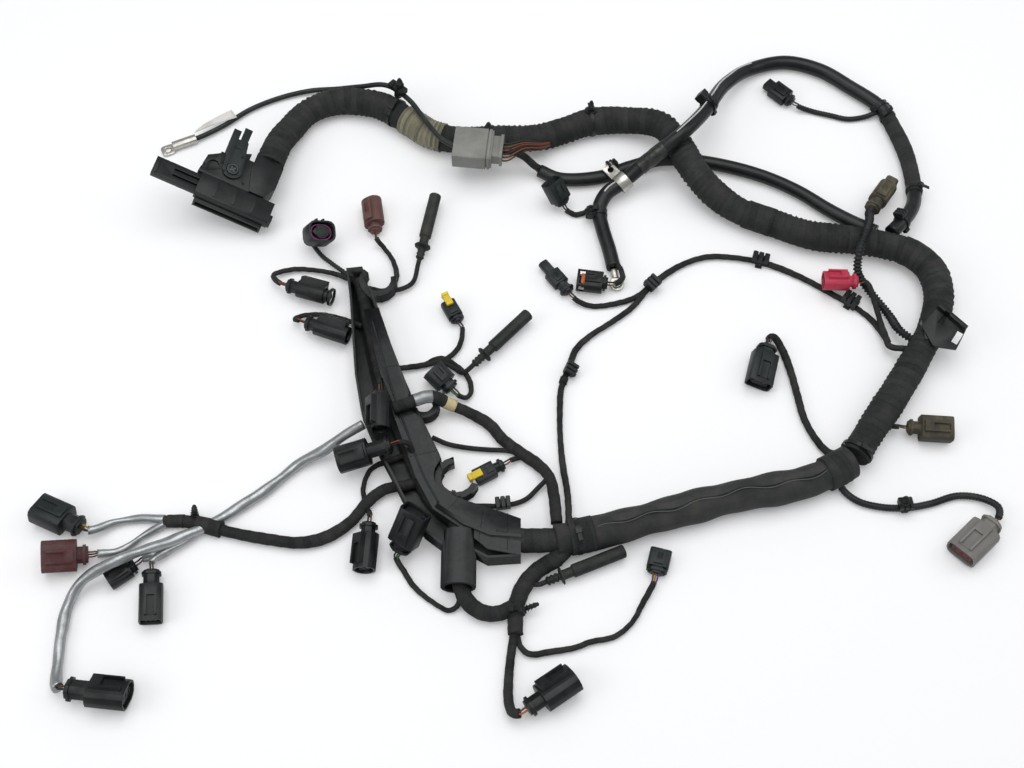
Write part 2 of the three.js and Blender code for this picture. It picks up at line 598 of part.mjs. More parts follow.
function lidBody() {
  const sheet = prism(outlineShape(lidOutline), trayLidThickness).translate([0, 0, trayHeight + clearance]);
  const rib = prism(outlineShape([[-70, -138], [-44, -156], [-20, -166], [8, -168], [38, -167],
    [38, -164], [8, -165], [-20, -163], [-44, -153], [-68, -135]]), 3)
    .translate([0, 0, trayHeight + trayLidThickness]);
  const spoutRoom = tube([spout.start, spout.end], spout.outer, 14, 2.6, clearance);
  const hookRooms = joined(hooks.map(({ centre, radius }) => (
    disc(...centre, 0, 40, radius + hookBand + clearance, 20))));
  return sheet.add(rib).subtract(spoutRoom).subtract(hookRooms);
}

function midBranchBody(room) {
  return joined([
    tube(routes.midBranch, tapedLoomDiameter, 8, 1.8, room),
    lead('twisted', [], leadDiameter, room),
    lead('clipLead', [], leadDiameter, room),
    lead('leadYellow2', tail('yellow_tab_plug_2'), leadDiameter, room),
  ]);
}

function dropLoomBody(room) {
  return joined([
    tube(routes.dropLoom, dropLoomDiameter, 8, 1.4, room),
    lead('leadLowerBarrel', tail('lower_barrel_plug'), 8, room),
    lead('leadSmallPurple', tail('small_purple_plug'), leadDiameter, room),
    lead('leadBoot3', bootTail('boot_3'), leadDiameter, room),
  ]);
}

function leftLoomBody(room) {
  return joined([
    tube(routes.leftLoom, tapedLoomDiameter, 8, 2, room),
    tube(routes.silverLeft, silverSleeveDiameter, 8, 2.2, room),
    lead('sleevePrinted', tail('printed_side_plug'), 8, room),
    lead('sleeveRedCore', tail('red_core_plug'), 7, room),
    lead('sleeveHidden', tail('hidden_latch_plug'), 6, room),
    lead('sleeveSlotted', tail('slotted_latch_plug'), 7, room),
    lead('sleeveCorner', tail('corner_plug'), 10, room),
  ]);
}

const loomRooms = [trayRoom, midBranchBody(clearance), dropLoomBody(clearance), leftLoomBody(clearance),
  trunkLowerRoom];
node('injector_tray', clearOf(trayBody(), ...loomRooms), 'black_plastic');
node('tray_lid', clearOf(lidBody(), ...loomRooms), 'black_plastic');

node('trunk_upper', trunkUpper, 'tape');
node('trunk_lower', clearOf(trunkLower, trunkUpperRoom), 'tape');
node('tray_loom', clearOf(trayLoomBody(0), trunkLowerRoom), 'tape');

// Control unit plug
function ecuHousing() {
  const half = ecu.length / 2;
  const upper = bar(roundRect(ecu.depth, ecu.height - ecu.mouthHeight, 2), -half, half)
    .translate([0, ecu.depth / 2, ecu.height - (ecu.height - ecu.mouthHeight) / 2]);
  const lower = block(-half + 2, half - 4, -ecu.rim, ecu.depth, 0, ecu.mouthHeight + 3);
  const mouth = block(-half + 4, half - 6, -ecu.rim - 1, ecu.mouthDepth - ecu.rim, 2, ecu.mouthHeight);
  const wayEnd = ecu.slideIn + slideTravel + 3 - half;
  const tongueWay = block(-half - 1, wayEnd, 2.5 - clearance, 2.5 + ecu.slideWidth + clearance,
    ecu.height - ecu.wall - ecu.slideHeight - 2 * clearance, ecu.height - ecu.wall);
  const key = block(half - 1, half + 3, 5, 11, 4, ecu.height - 2);
  const ribs = [-20, 0, 20].map((x) => block(x - 1, x + 1, 3, ecu.depth - 3, ecu.height - 1,
    ecu.height + 0.8));
  return joined([upper, lower, key, ...ribs]).subtract(mouth).subtract(tongueWay);
}

function ecuSlide() {
  const start = -ecu.length / 2 - ecu.slideOut;
  const end = -ecu.length / 2 + ecu.slideIn;
  const low = ecu.height - ecu.wall - ecu.slideHeight - clearance;
  const high = ecu.height - ecu.wall - clearance;
  const tray = block(start, end, 2.5, 2.5 + ecu.slideWidth, low, high);
  const cells = [0, 1].map((i) => block(start - 1, start + 11, 5 + i * 8.5, 11.5 + i * 8.5, low + 1.5,
    high - 1.5));
  const groove = block(start + 20, end + 1, 8, 10, high - 3, high + 1);
  const groove2 = block(start + 20, end + 1, 15, 17, high - 3, high + 1);
  const grip = block(start + 2, start + 5, 4, ecu.slideWidth, high - 0.5, high + 1.2);
  return joined([tray, grip]).subtract(cells[0]).subtract(cells[1]).subtract(groove).subtract(groove2);
}

function ecuCover() {
  const front = ecu.depth + clearance;
  const low = ecu.coverLift;
  const high = low + ecu.coverHeight;
  const plate = prism(outlineShape([[-44, front], [12, front], [12, 62], [2, 70], [-28, 56], [-41,
    47]]), high - low)
    .translate([0, 0, low]);
  const hood = prism(outlineShape([[10, front], [26, front], [34, 40], [34, 62], [30, 70], [4, 70], [4,
    50]]), 24)
    .translate([0, 0, -1]);
  const [px, py] = ecu.pivot;
  const arch = disc(px, py, high - 0.5, high + ecu.armThickness + clearance + 0.5, ecu.pivotRadius, 18);
  const under = disc(px, py, low - ecu.armThickness - clearance, low + 0.5, ecu.pivotRadius, 18);
  const pocket = disc(px - 19, py - 2, high - 2.5, high + 1, 5.5, 12);
  const slots = [0, 1, 2].map((i) => block(px - 36 + i * 6, px - 33 + i * 6, 30, 36, high - 2.5, high + 1));
  const exit = disc(0, 0, -20, 12, 11, 14);
  const bore = placed(exit, [19, 66, 11], 90, 0, 90);
  return slots.reduce((left, cut) => left.subtract(cut), joined([plate, hood, arch,
    under]).subtract(pocket))
    .subtract(bore);
}

// The lever straddles the cover: an arm above and one below it, a back bar and two finger prongs
function ecuLever() {
  const low = ecu.coverLift;
  const high = low + ecu.coverHeight;
  const [px, py] = ecu.pivot;
  const reach = py + ecu.leverReach - 18;
  const armOutline = () => {
    const shape = new THREE.Shape();
    shape.absarc(px, py, ecu.pivotRadius + 4.5, radians(170), radians(370), false);
    shape.lineTo(px + 6, reach - 4);
    shape.lineTo(px + 5, reach + 4);
    shape.lineTo(px - 14, reach + 4);
    shape.lineTo(px - 14, reach - 4);
    return shape;
  };
  const top = prism(armOutline(), ecu.armThickness, 6).translate([0, 0, high + clearance]);
  const bottom = prism(armOutline(), ecu.armThickness, 6).translate([0, 0,
    low - clearance - ecu.armThickness]);
  const back = block(px - 14, px + 5, reach, reach + 4, low - clearance - ecu.armThickness,
    high + clearance + ecu.armThickness);
  const prongs = [[-14, 12], [-4, 18]].map(([x, length]) => (
    block(px + x, px + x + 8, reach + 2, reach + 2 + length, high - 5,
      high + clearance + ecu.armThickness)));
  const hole = disc(px, py, low - 10, high + 10, ecu.pivotRadius + clearance, 18);
  return joined([top, bottom, back, ...prongs]).subtract(hole);
}

const ecuPose = [ecu.place, ecu.heading, -ecu.dip];
const ecuNodes = [
  ['ecu_plug_housing', ecuHousing(), 'black_plastic'],
  ['ecu_lock_slide', ecuSlide(), 'black_plastic'],
  ['ecu_rear_cover', ecuCover(), 'black_plastic'],
  ['ecu_lever', ecuLever(), 'grey_black_plastic'],
];
for (const [name, body, color] of ecuNodes) node(name, placed(body, ...ecuPose), color);

// Inline connector half with its flange and collar
function inlineBody() {
  const { length, width, height, wall } = inline;
  const shellEnd = length * 0.75;
  const shell = bar(roundRect(width, height, 3), 0, shellEnd);
  const groove = bar(roundRect(width + 10, height + 10, 3), shellEnd - 4, shellEnd - 2.5)
    .subtract(bar(roundRect(width - 3, height - 3, 2), shellEnd - 5, shellEnd - 2));
  const flange = bar(roundRect(width - 2, height - 2, 3), shellEnd - 3, shellEnd + 2);
  const collar = bar(roundRect(width * 0.72, height * 0.75, 4), shellEnd, length - 1);
  const rim = bar(roundRect(width * 0.8, height * 0.85, 4), length - 3, length);
  const mouth = bar(roundRect(width - 2 * wall, height - 2 * wall, 2), -1, inline.mouth);
  const core = bar(roundRect(width - 2 * wall - 6, height - 2 * wall - 6, 2), 2, inline.mouth + 2);
  return joined([shell.subtract(groove).subtract(mouth), core, flange, collar, rim]);
}
node('inline_plug', placed(inlineBody(), inline.at, inline.heading, 0, 0), 'aluminium_grey');

// Shield wrap round the upper trunk
const wrapRoute = [[-114, 311, 14], [-103, 303, 14], [-88, 291.5, 14], [-73, 286, 14]];
const wrapOuter = tube(wrapRoute, trunkUpperDiameter + 3.4, 10, 0.5);
node('shield_wrap', largest(wrapOuter.subtract(trunkUpperRoom).subtract(block(-200, 0, 200, 400, -5, 0.4))),
  'khaki_wrap');

// Earth cable and its crimped terminal
node('earth_cable', clearOf(tube(routes.earth, earthCableDiameter, 8, 2.8), trunkUpperRoom), 'hose');
function earthTerminal() {
  const barrel = bar(roundRect(10, 9, 4), 0, 26);
  const socket = earthCableDiameter / 2 + clearance;
  const bore = turned([[-1, socket], [10, socket]], 10);
  const plate = prism(roundRect(14, 13, 3), 2).translate([32, 0, -4.5]);
  const hole = disc(32, 0, -6, 0, 3.2, 14);
  return joined([barrel.subtract(bore), plate]).subtract(hole);
}
const earthEnd = { at: [-338, 292.4, 5], heading: 204 };
node('earth_terminal', placed(earthTerminal(), earthEnd.at, earthEnd.heading), 'tin');

// Hoses, ring terminal and P-clamp
const loopBody = tube(routes.hoseLoop, hoseLoopDiameter, 10, 1.8);
const inlineEnd = along(inline.at, forward(inline.heading, 0), inline.length + clearance);
const inlineLead = [along(inlineEnd, forward(inline.heading, 0), 8), inlineEnd];
const hoseLowerBody = tube(routes.hoseLower, hoseLowerDiameter, 10, 1.8).add(lead('leadInline', inlineLead, 8));
const hoseLowerRoom = tube(routes.hoseLower, hoseLowerDiameter, 10, 1.8, clearance);
const clampBore = hoseLoopDiameter + 4 * clearance;
const clampSpot = { at: [115, 226, 18.5], heading: 38, pitch: 20 };
const windowLead = lead('leadWindow', tail('window_plug', 7));
const hoseLoop = clearOf(loopBody, trunkUpperRoom, hoseLowerRoom).add(windowLead);
node('hose_loop', hoseLoop, 'hose');
node('hose_lower', clearOf(hoseLowerBody, trunkUpperRoom), 'hose');
function pClamp() {
  const bore = turned([[-7, clampBore / 2], [7, clampBore / 2]], 16);
  const ring = turned([[-6, clampBore / 2 + 2], [6, clampBore / 2 + 2]], 16);
  const ear = block(-6, 6, clampBore / 2, clampBore / 2 + 18, -1.5, 1.5);
  const hole = disc(0, clampBore / 2 + 11, -4, 4, 3.4, 12);
  return ring.add(ear).subtract(bore).subtract(hole);
}
const loopRoom = tube(routes.hoseLoop, hoseLoopDiameter, 10, 1.8, clearance);
node('p_clamp', largest(placed(pClamp(), clampSpot.at, clampSpot.heading,
  clampSpot.pitch).subtract(loopRoom)
  .subtract(hoseLowerRoom)), 'tin');
function ringTerminal() {
  const ring = disc(16, 0, -1.25, 1.25, 7.5, 18);
  const barrel = bar(roundRect(7, 6, 2.5), 0, 10);
  const hole = disc(16, 0, -3, 3, 3.6, 14);
  return ring.add(barrel).subtract(hole);
}
const ringSpot = { at: [103.1, 127.2, 6], heading: -80 };
node('ring_terminal', placed(ringTerminal(), ringSpot.at, ringSpot.heading, -8), 'tin');

// Looms that leave the trunks
node('corrugated_tube', clearOf(tube([...routes.corrugated].reverse().concat(tail('dusty_plug', 6)),
  corrugatedDiameter,
  8, 2), trunkUpperRoom), 'hose');
node('long_branch', clearOf(joined([
  tube(routes.longBranch, branchDiameter, 8, 3),
  lead('leadSlim', tail('slim_plug')),
  lead('leadRed', tail('red_plug')),
]), trunkUpperRoom, trunkLowerRoom), 'tape');
node('mid_branch', clearOf(midBranchBody(0), trunkLowerRoom), 'tape');
node('drop_loom', clearOf(dropLoomBody(0), trunkLowerRoom, trayRoom), 'tape');
node('left_loom', clearOf(leftLoomBody(0), trayRoom), 'silver_sleeve');
node('upright_plug_lead', clearOf(lead('leadUpright', tail('upright_plug')), loopRoom), 'tape');
node('leaning_plug_lead', clearOf(lead('leadLeaning', tail('leaning_plug'), 7), trunkUpperRoom,
  trunkLowerRoom), 'tape');
node('right_edge_lead', clearOf(lead('leadRightEdge', tail('right_edge_plug')), trunkUpperRoom), 'tape');
node('light_grey_lead', clearOf(lead('leadLightGrey', tail('light_grey_plug'), 7), trunkUpperRoom,
  trunkLowerRoom),
  'tape');
node('top_plug_lead', clearOf(lead('leadTop', tail('top_plug'), 6), loopRoom), 'hose');

// Loom bracket: a slotted plate on a saddle that hugs the upper trunk
const bracket = { plate: [[396, 46], [416, 68], [439, 42], [426, 20], [404, 24]], low: 31.6, thickness: 3 };
function bracketBody() {
  const plate = prism(outlineShape(bracket.plate), bracket.thickness).translate([0, 0, bracket.low]);
  const rail = prism(outlineShape([[416, 68], [439, 42], [436, 39], [413, 65]]), 9).translate([0, 0,
    bracket.low]);
  const saddle = block(398, 422, 32, 54, 20, bracket.low + 1);
  const wide = placed(block(-3, 3, -8, 8, 20, 50), [429, 33, 0], -35);
  const narrow = placed(block(-2.5, 2.5, -6, 6, 20, 50), [418, 53, 0], -40);
  return joined([plate, rail, saddle]).subtract(wide).subtract(narrow).subtract(trunkUpperRoom);
}
node('loom_bracket', largest(bracketBody()), 'black_plastic');

export default harness;
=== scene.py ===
import json
import math
import bmesh
import bpy
from mathutils import Matrix, Vector


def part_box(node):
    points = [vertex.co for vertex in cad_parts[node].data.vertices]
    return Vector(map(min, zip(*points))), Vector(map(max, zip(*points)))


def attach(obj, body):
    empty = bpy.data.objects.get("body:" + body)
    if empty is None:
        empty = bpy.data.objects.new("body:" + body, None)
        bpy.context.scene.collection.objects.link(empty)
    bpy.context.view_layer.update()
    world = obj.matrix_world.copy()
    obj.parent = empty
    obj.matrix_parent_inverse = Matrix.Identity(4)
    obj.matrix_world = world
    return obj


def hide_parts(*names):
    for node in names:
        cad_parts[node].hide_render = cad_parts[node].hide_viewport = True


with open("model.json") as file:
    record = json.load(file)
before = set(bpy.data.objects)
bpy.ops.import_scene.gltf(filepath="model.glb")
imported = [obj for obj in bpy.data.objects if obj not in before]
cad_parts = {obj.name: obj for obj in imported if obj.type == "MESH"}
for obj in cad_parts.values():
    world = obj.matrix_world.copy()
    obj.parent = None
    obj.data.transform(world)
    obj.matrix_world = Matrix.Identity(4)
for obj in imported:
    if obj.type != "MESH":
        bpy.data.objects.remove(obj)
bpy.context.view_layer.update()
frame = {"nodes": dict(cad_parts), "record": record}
bodyOf = {node: body for body, nodes in frame["record"]["behaviour"]["bodies"].items() for node in nodes}
print("frame loaded")

# Camera: above the bench, looking down at 63 degrees
view = {"place": (0.118, -0.5702, 1.1583), "target": (0.118, 0.020, 0.0), "lens": 46.9}


def makeCamera():
    data = bpy.data.cameras.new("camera")
    data.lens = view["lens"]
    data.sensor_width = 36
    data.clip_start = 0.01
    camera = bpy.data.objects.new("camera", data)
    bpy.context.scene.collection.objects.link(camera)
    camera.location = view["place"]
    aim = Vector(view["target"]) - camera.location
    camera.rotation_euler = aim.to_track_quat("-Z", "Y").to_euler()
    bpy.context.scene.camera = camera


makeCamera()
print("camera placed")


# Materials
def tone(code, alpha=1.0):
    channels = [int(code[i:i + 2], 16) / 255 for i in (1, 3, 5)]
    return [c / 12.92 if c <= 0.04045 else ((c + 0.055) / 1.055) ** 2.4 for c in channels] + [alpha]


def newGroup(name, inputs, outputs):
    group = bpy.data.node_groups.new(name, "ShaderNodeTree")
    for label, kind, value in inputs:
        socket = group.interface.new_socket(label, in_out="INPUT", socket_type=kind)
        socket.default_value = value
    for label, kind in outputs:
        group.interface.new_socket(label, in_out="OUTPUT", socket_type=kind)
    nodes = group.nodes
    return group, nodes, group.links, nodes.new("NodeGroupInput"), nodes.new("NodeGroupOutput")


def math1(nodes, links, operation, a, b=None, c=None):
    node = nodes.new("ShaderNodeMath")
    node.operation = operation
    for i, value in enumerate((a, b, c)):
        if value is None:
            continue
        if isinstance(value, (int, float)):
            node.inputs[i].default_value = value
        else:
            links.new(value, node.inputs[i])
    return node.outputs[0]


def mixColors(nodes, links, factor, a, b):
    node = nodes.new("ShaderNodeMix")
    node.data_type = "RGBA"
    for socket, value in ((node.inputs[0], factor), (node.inputs[6], a), (node.inputs[7], b)):
        if isinstance(value, bpy.types.NodeSocket):
            links.new(value, socket)
        else:
            socket.default_value = value
    return node.outputs[2]


def noiseNode(nodes, links, scale, detail=4.0, rough=0.55):
    place = nodes.new("ShaderNodeTexCoord")
    node = nodes.new("ShaderNodeTexNoise")
    links.new(place.outputs["Object"], node.inputs["Vector"])
    node.inputs["Detail"].default_value = detail
    node.inputs["Roughness"].default_value = rough
    if isinstance(scale, (int, float)):
        node.inputs["Scale"].default_value = scale
    else:
        links.new(scale, node.inputs["Scale"])
    return node.outputs["Fac"]


# Dry dust: it lies on faces that look up, in blotches, with finer specks over all
def makeDust():
    group, nodes, links, start, end = newGroup("dryDust", [
        ("Color", "NodeSocketColor", (0.03, 0.03, 0.03, 1)), ("Dust", "NodeSocketColor", (0.2, 0.18, 0.15, 1)),
        ("Amount", "NodeSocketFloat", 0.3), ("Scale", "NodeSocketFloat", 60.0)],
        [("Color", "NodeSocketColor"), ("Mask", "NodeSocketFloat")])
    blotch = noiseNode(nodes, links, start.outputs["Scale"], 5.0, 0.65)
    speck = noiseNode(nodes, links, 900.0, 2.0)
    spread = nodes.new("ShaderNodeMapRange")
    links.new(blotch, spread.inputs["Value"])
    spread.inputs["From Min"].default_value = 0.42
    spread.inputs["From Max"].default_value = 0.68
    fine = nodes.new("ShaderNodeMapRange")
    links.new(speck, fine.inputs["Value"])
    fine.inputs["From Min"].default_value = 0.5
    fine.inputs["From Max"].default_value = 0.75
    geometry = nodes.new("ShaderNodeNewGeometry")
    parts = nodes.new("ShaderNodeSeparateXYZ")
    links.new(geometry.outputs["Normal"], parts.inputs[0])
    up = math1(nodes, links, "MULTIPLY_ADD", parts.outputs["Z"], 0.4, 0.6)
    both = math1(nodes, links, "MULTIPLY_ADD", fine.outputs[0], 0.35, spread.outputs[0])
    mask = math1(nodes, links, "MULTIPLY", math1(nodes, links, "MULTIPLY", both, up), start.outputs["Amount"])
    capped = math1(nodes, links, "MINIMUM", mask, 0.95)
    links.new(mixColors(nodes, links, capped, start.outputs["Color"], start.outputs["Dust"]), end.inputs["Color"])
    links.new(capped, end.inputs["Mask"])
    return group


# Worn edges with painted highlight: the convex edges of a moulding are drawn paler, partly as rubbed wear and partly
# as painted highlight
def makeEdgeWearAndHighlight():
    group, nodes, links, start, end = newGroup("edgeWearAndHighlight", [
        ("Color", "NodeSocketColor", (0.03, 0.03, 0.03, 1)), ("Worn", "NodeSocketColor", (0.12, 0.12, 0.12, 1)),
        ("Amount", "NodeSocketFloat", 0.5)], [("Color", "NodeSocketColor")])
    geometry = nodes.new("ShaderNodeNewGeometry")
    edge = nodes.new("ShaderNodeMapRange")
    links.new(geometry.outputs["Pointiness"], edge.inputs["Value"])
    edge.inputs["From Min"].default_value = 0.52
    edge.inputs["From Max"].default_value = 0.62
    wornAndLitEdge = math1(nodes, links, "MULTIPLY", edge.outputs[0], noiseNode(nodes, links, 220.0, 3.0))
    amount = math1(nodes, links, "MULTIPLY", wornAndLitEdge, start.outputs["Amount"])
    links.new(mixColors(nodes, links, amount, start.outputs["Color"], start.outputs["Worn"]), end.inputs["Color"])
    return group


# Tape wound round a cord: a step at each turn's edge and a slightly different shade for each turn
def makeWoundTape():
    group, nodes, links, start, end = newGroup("woundTape", [
        ("Pitch", "NodeSocketFloat", 0.014), ("Ragged", "NodeSocketFloat", 0.3)],
        [("Edge", "NodeSocketFloat"), ("Turn", "NodeSocketFloat"), ("Height", "NodeSocketFloat")])
    place = nodes.new("ShaderNodeUVMap")
    place.uv_map = "along"
    parts = nodes.new("ShaderNodeSeparateXYZ")
    links.new(place.outputs[0], parts.inputs[0])
    ragged = math1(nodes, links, "MULTIPLY", noiseNode(nodes, links, 130.0, 4.0), start.outputs["Ragged"])
    count = math1(nodes, links, "DIVIDE", parts.outputs["X"], start.outputs["Pitch"])
    wound = math1(nodes, links, "ADD", math1(nodes, links, "ADD", count, parts.outputs["Y"]), ragged)
    turn = math1(nodes, links, "FLOOR", wound)
    inTurn = math1(nodes, links, "FRACT", wound)
    shade = nodes.new("ShaderNodeTexWhiteNoise")
    shade.noise_dimensions = "1D"
    links.new(turn, shade.inputs["W"])
    edge = nodes.new("ShaderNodeMapRange")
    links.new(inTurn, edge.inputs["Value"])
    edge.inputs["From Min"].default_value = 0.0
    edge.inputs["From Max"].default_value = 0.1
    edge.inputs["To Min"].default_value = 1.0
    edge.inputs["To Max"].default_value = 0.0
    links.new(edge.outputs[0], end.inputs["Edge"])
    links.new(shade.outputs["Value"], end.inputs["Turn"])
    links.new(math1(nodes, links, "SUBTRACT", 1.0, inTurn), end.inputs["Height"])
    return group


# Crossed strands round a sleeve
def makeWeave():
    group, nodes, links, start, end = newGroup("wovenSleeve", [
        ("Size", "NodeSocketFloat", 0.002), ("Around", "NodeSocketFloat", 40.0)],
        [("Height", "NodeSocketFloat"), ("Strand", "NodeSocketFloat")])
    place = nodes.new("ShaderNodeUVMap")
    place.uv_map = "along"
    parts = nodes.new("ShaderNodeSeparateXYZ")
    links.new(place.outputs[0], parts.inputs[0])
    u = math1(nodes, links, "DIVIDE", parts.outputs["X"], start.outputs["Size"])
    v = math1(nodes, links, "MULTIPLY", parts.outputs["Y"], start.outputs["Around"])
    moreTurn = math1(nodes, links, "MULTIPLY", math1(nodes, links, "ADD", u, v), math.pi)
    plus = math1(nodes, links, "SINE", moreTurn)
    lessTurn = math1(nodes, links, "MULTIPLY", math1(nodes, links, "SUBTRACT", u, v), math.pi)
    minus = math1(nodes, links, "SINE", lessTurn)
    cross = math1(nodes, links, "MULTIPLY", plus, minus)
    links.new(math1(nodes, links, "ABSOLUTE", cross), end.inputs["Height"])
    links.new(math1(nodes, links, "MULTIPLY_ADD", cross, 0.5, 0.5), end.inputs["Strand"])
    return group


dryDust, edgeWearAndHighlight, woundTape, wovenSleeve = makeDust(), makeEdgeWearAndHighlight(), makeWoundTape(), makeWeave()


def startMaterial(name, roughness, metallic=0.0, specular=0.5):
    material = bpy.data.materials.new(name)
    material.use_nodes = True
    nodes, links = material.node_tree.nodes, material.node_tree.links
    shader = nodes["Principled BSDF"]
    shader.inputs["Roughness"].default_value = roughness
    shader.inputs["Metallic"].default_value = metallic
    shader.inputs["Specular IOR Level"].default_value = specular
    return material, nodes, links, shader


def addGroup(nodes, group, **values):
    node = nodes.new("ShaderNodeGroup")
    node.node_tree = group
    for label, value in values.items():
        node.inputs[label].default_value = value
    return node


def addBump(nodes, links, shader, height, strength, distance):
    bump = nodes.new("ShaderNodeBump")
    bump.inputs["Strength"].default_value = strength
    bump.inputs["Distance"].default_value = distance
    links.new(height, bump.inputs["Height"])
    links.new(bump.outputs[0], shader.inputs["Normal"])


def mouldedPlastic(name, color, roughness=0.48, dust="#666664", amount=0.2, scale=55.0, wearAndHighlight=0.55, metallic=0.0):
    material, nodes, links, shader = startMaterial(name, roughness, metallic, specular=0.3)
    base = tone(color)
    # paler tone for convex edges: rubbed wear and painted highlight
    wornAndHighlitTone = [min(1.0, c * 2.2 + 0.03) for c in base[:3]] + [1.0]
    wear = addGroup(nodes, edgeWearAndHighlight, Color=base, Worn=wornAndHighlitTone, Amount=wearAndHighlight)
    powder = addGroup(nodes, dryDust, Dust=tone(dust), Amount=amount, Scale=scale)
    links.new(wear.outputs["Color"], powder.inputs["Color"])
    links.new(powder.outputs["Color"], shader.inputs["Base Color"])
    rough = math1(nodes, links, "MULTIPLY_ADD", powder.outputs["Mask"], 0.4, roughness)
    links.new(rough, shader.inputs["Roughness"])
    addBump(nodes, links, shader, noiseNode(nodes, links, 1400.0, 3.0), 0.25, 0.0002)
    return material


def clothTape(name, color, pitch=0.014, dust="#5c5a54", amount=0.28, roughness=0.8, contrast=0.35):
    material, nodes, links, shader = startMaterial(name, roughness, specular=0.3)
    wound = addGroup(nodes, woundTape, Pitch=pitch)
    base = tone(color)
    light = [min(1.0, c * (1 + contrast) + 0.008) for c in base[:3]] + [1.0]
    turnTone = mixColors(nodes, links, wound.outputs["Turn"], base, light)
    edgeTone = mixColors(nodes, links, math1(nodes, links, "MULTIPLY", wound.outputs["Edge"], 0.55), turnTone,
                         [c * 0.45 for c in base[:3]] + [1.0])
    powder = addGroup(nodes, dryDust, Dust=tone(dust), Amount=amount, Scale=45.0)
    links.new(edgeTone, powder.inputs["Color"])
    links.new(powder.outputs["Color"], shader.inputs["Base Color"])
    cloth = noiseNode(nodes, links, 520.0, 6.0)
    height = math1(nodes, links, "MULTIPLY_ADD", cloth, 1.3, wound.outputs["Height"])
    addBump(nodes, links, shader, height, 1.0, 0.0007)
    return material


def sleeveCloth(name, color, strand, size, around, amount=0.25, dust="#62605a", roughness=0.6):
    material, nodes, links, shader = startMaterial(name, roughness, specular=0.4)
    weave = addGroup(nodes, wovenSleeve, Size=size, Around=around)
    woven = mixColors(nodes, links, weave.outputs["Strand"], tone(color), tone(strand))
    powder = addGroup(nodes, dryDust, Dust=tone(dust), Amount=amount, Scale=40.0)
    links.new(woven, powder.inputs["Color"])
    links.new(powder.outputs["Color"], shader.inputs["Base Color"])
    addBump(nodes, links, shader, weave.outputs["Height"], 0.6, 0.0005)
    return material


finishes = {
    "tape": clothTape("trunkTape", "#1f2121", 0.0072, amount=0.2),
    "branchTape": clothTape("branchTape", "#1a1b1c", 0.007, amount=0.16),
    "woven": sleeveCloth("wovenTrunk", "#171919", "#2e302f", 0.0015, 66.0, amount=0.24),
    "silver": mouldedPlastic("silverSleeve", "#a9acad", 0.3, "#6c6b66", 0.45, 90.0, 0.1, 0.8),
    "hose": mouldedPlastic("hoseRubber", "#141718", 0.3, amount=0.14, scale=30.0, wearAndHighlight=0.06),
    "conduit": mouldedPlastic("conduit", "#15181a", 0.42, amount=0.16, scale=40.0, wearAndHighlight=0.12),
    "cable": mouldedPlastic("cableSheath", "#222525", 0.4, amount=0.15, wearAndHighlight=0.08),
    "black_plastic": mouldedPlastic("blackMoulding", "#101314", 0.36, amount=0.07, wearAndHighlight=0.3),
    "grey_black_plastic": mouldedPlastic("greyBlackMoulding", "#191f20", 0.42, amount=0.08, wearAndHighlight=0.3),
    "brown_plastic": mouldedPlastic("brownMoulding", "#5d3f3a", 0.5, amount=0.2),
    "wine_plastic": mouldedPlastic("wineMoulding", "#4b2526", 0.5, amount=0.25),
    "red_plastic": mouldedPlastic("redMoulding", "#b3324a", 0.42, amount=0.2),
    "light_grey_plastic": mouldedPlastic("lightGreyMoulding", "#716f6b", 0.5, amount=0.25, wearAndHighlight=0.4),
    "olive_plastic": mouldedPlastic("oliveMoulding", "#37342b", 0.6, "#857b62", 0.5, 40.0),
    "yellow_plastic": mouldedPlastic("yellowTab", "#dcbc2c", 0.45, amount=0.15),
    "rubber": mouldedPlastic("bootRubber", "#1b1f1f", 0.55, "#6f6e64", 0.2, 45.0, 0.2),
    "aluminium_grey": mouldedPlastic("greyConnector", "#7f807b", 0.4, "#4b4840", 0.3, 50.0, 0.4),
    "tin": mouldedPlastic("tinnedMetal", "#c0beb6", 0.3, "#6b6250", 0.35, 70.0, 0.2, 0.9),
    "khaki": clothTape("shieldWrap", "#6a6756", 0.0022, "#3b372c", 0.4, 0.4, 1.1),
    "foil": mouldedPlastic("foilWrap", "#4d4f4c", 0.28, "#1a1a18", 0.75, 260.0, 0.8, 0.7),
    "label": mouldedPlastic("bareLabel", "#dedcd6", 0.6, "#8f8b80", 0.3, 60.0, 0.1),
    "cream": clothTape("creamTape", "#c4b78a", 0.02, amount=0.3, contrast=0.15),
    "stripe": mouldedPlastic("paleStripe", "#c9cac8", 0.5, "#6b675c", 0.4, 90.0, 0.1),
    "stitch": mouldedPlastic("seamStitch", "#5b5d5b", 0.6, amount=0.4, scale=200.0, wearAndHighlight=0.1),
    "rubbed": mouldedPlastic("rubbedEdge", "#4c5152", 0.45, amount=0.15, wearAndHighlight=0.2),
    # near black: painted shade for the control unit plug's recesses and groove, and the dark panel joints on the tray
    # lid
    "jointAndRecessShade": mouldedPlastic("panelJointAndRecessShade", "#050606", 0.7, amount=0.04, wearAndHighlight=0.0),
}
wireColors = {
    "brown": "#6a4630", "black": "#222222", "redBrown": "#7c3a2a", "green": "#2f6a3d", "yellowBrown": "#a3843a",
    "orangeBrown": "#a9622e", "purple": "#5d3f7a", "blue": "#2b4b9a", "gold": "#b89a4a", "magenta": "#a03a7c",
    # near-black slot colour: painted shade standing in for the terminal cavities in the plug mouths
    "grey": "#6f7072", "red": "#a02c2c", "darkRed": "#5c2424", "orange": "#c8642a", "slotShade": "#101112",
}
for label, code in wireColors.items():
    finishes[label] = mouldedPlastic(label + "Insulation", code, 0.4, amount=0.12, wearAndHighlight=0.1)
print("materials made")


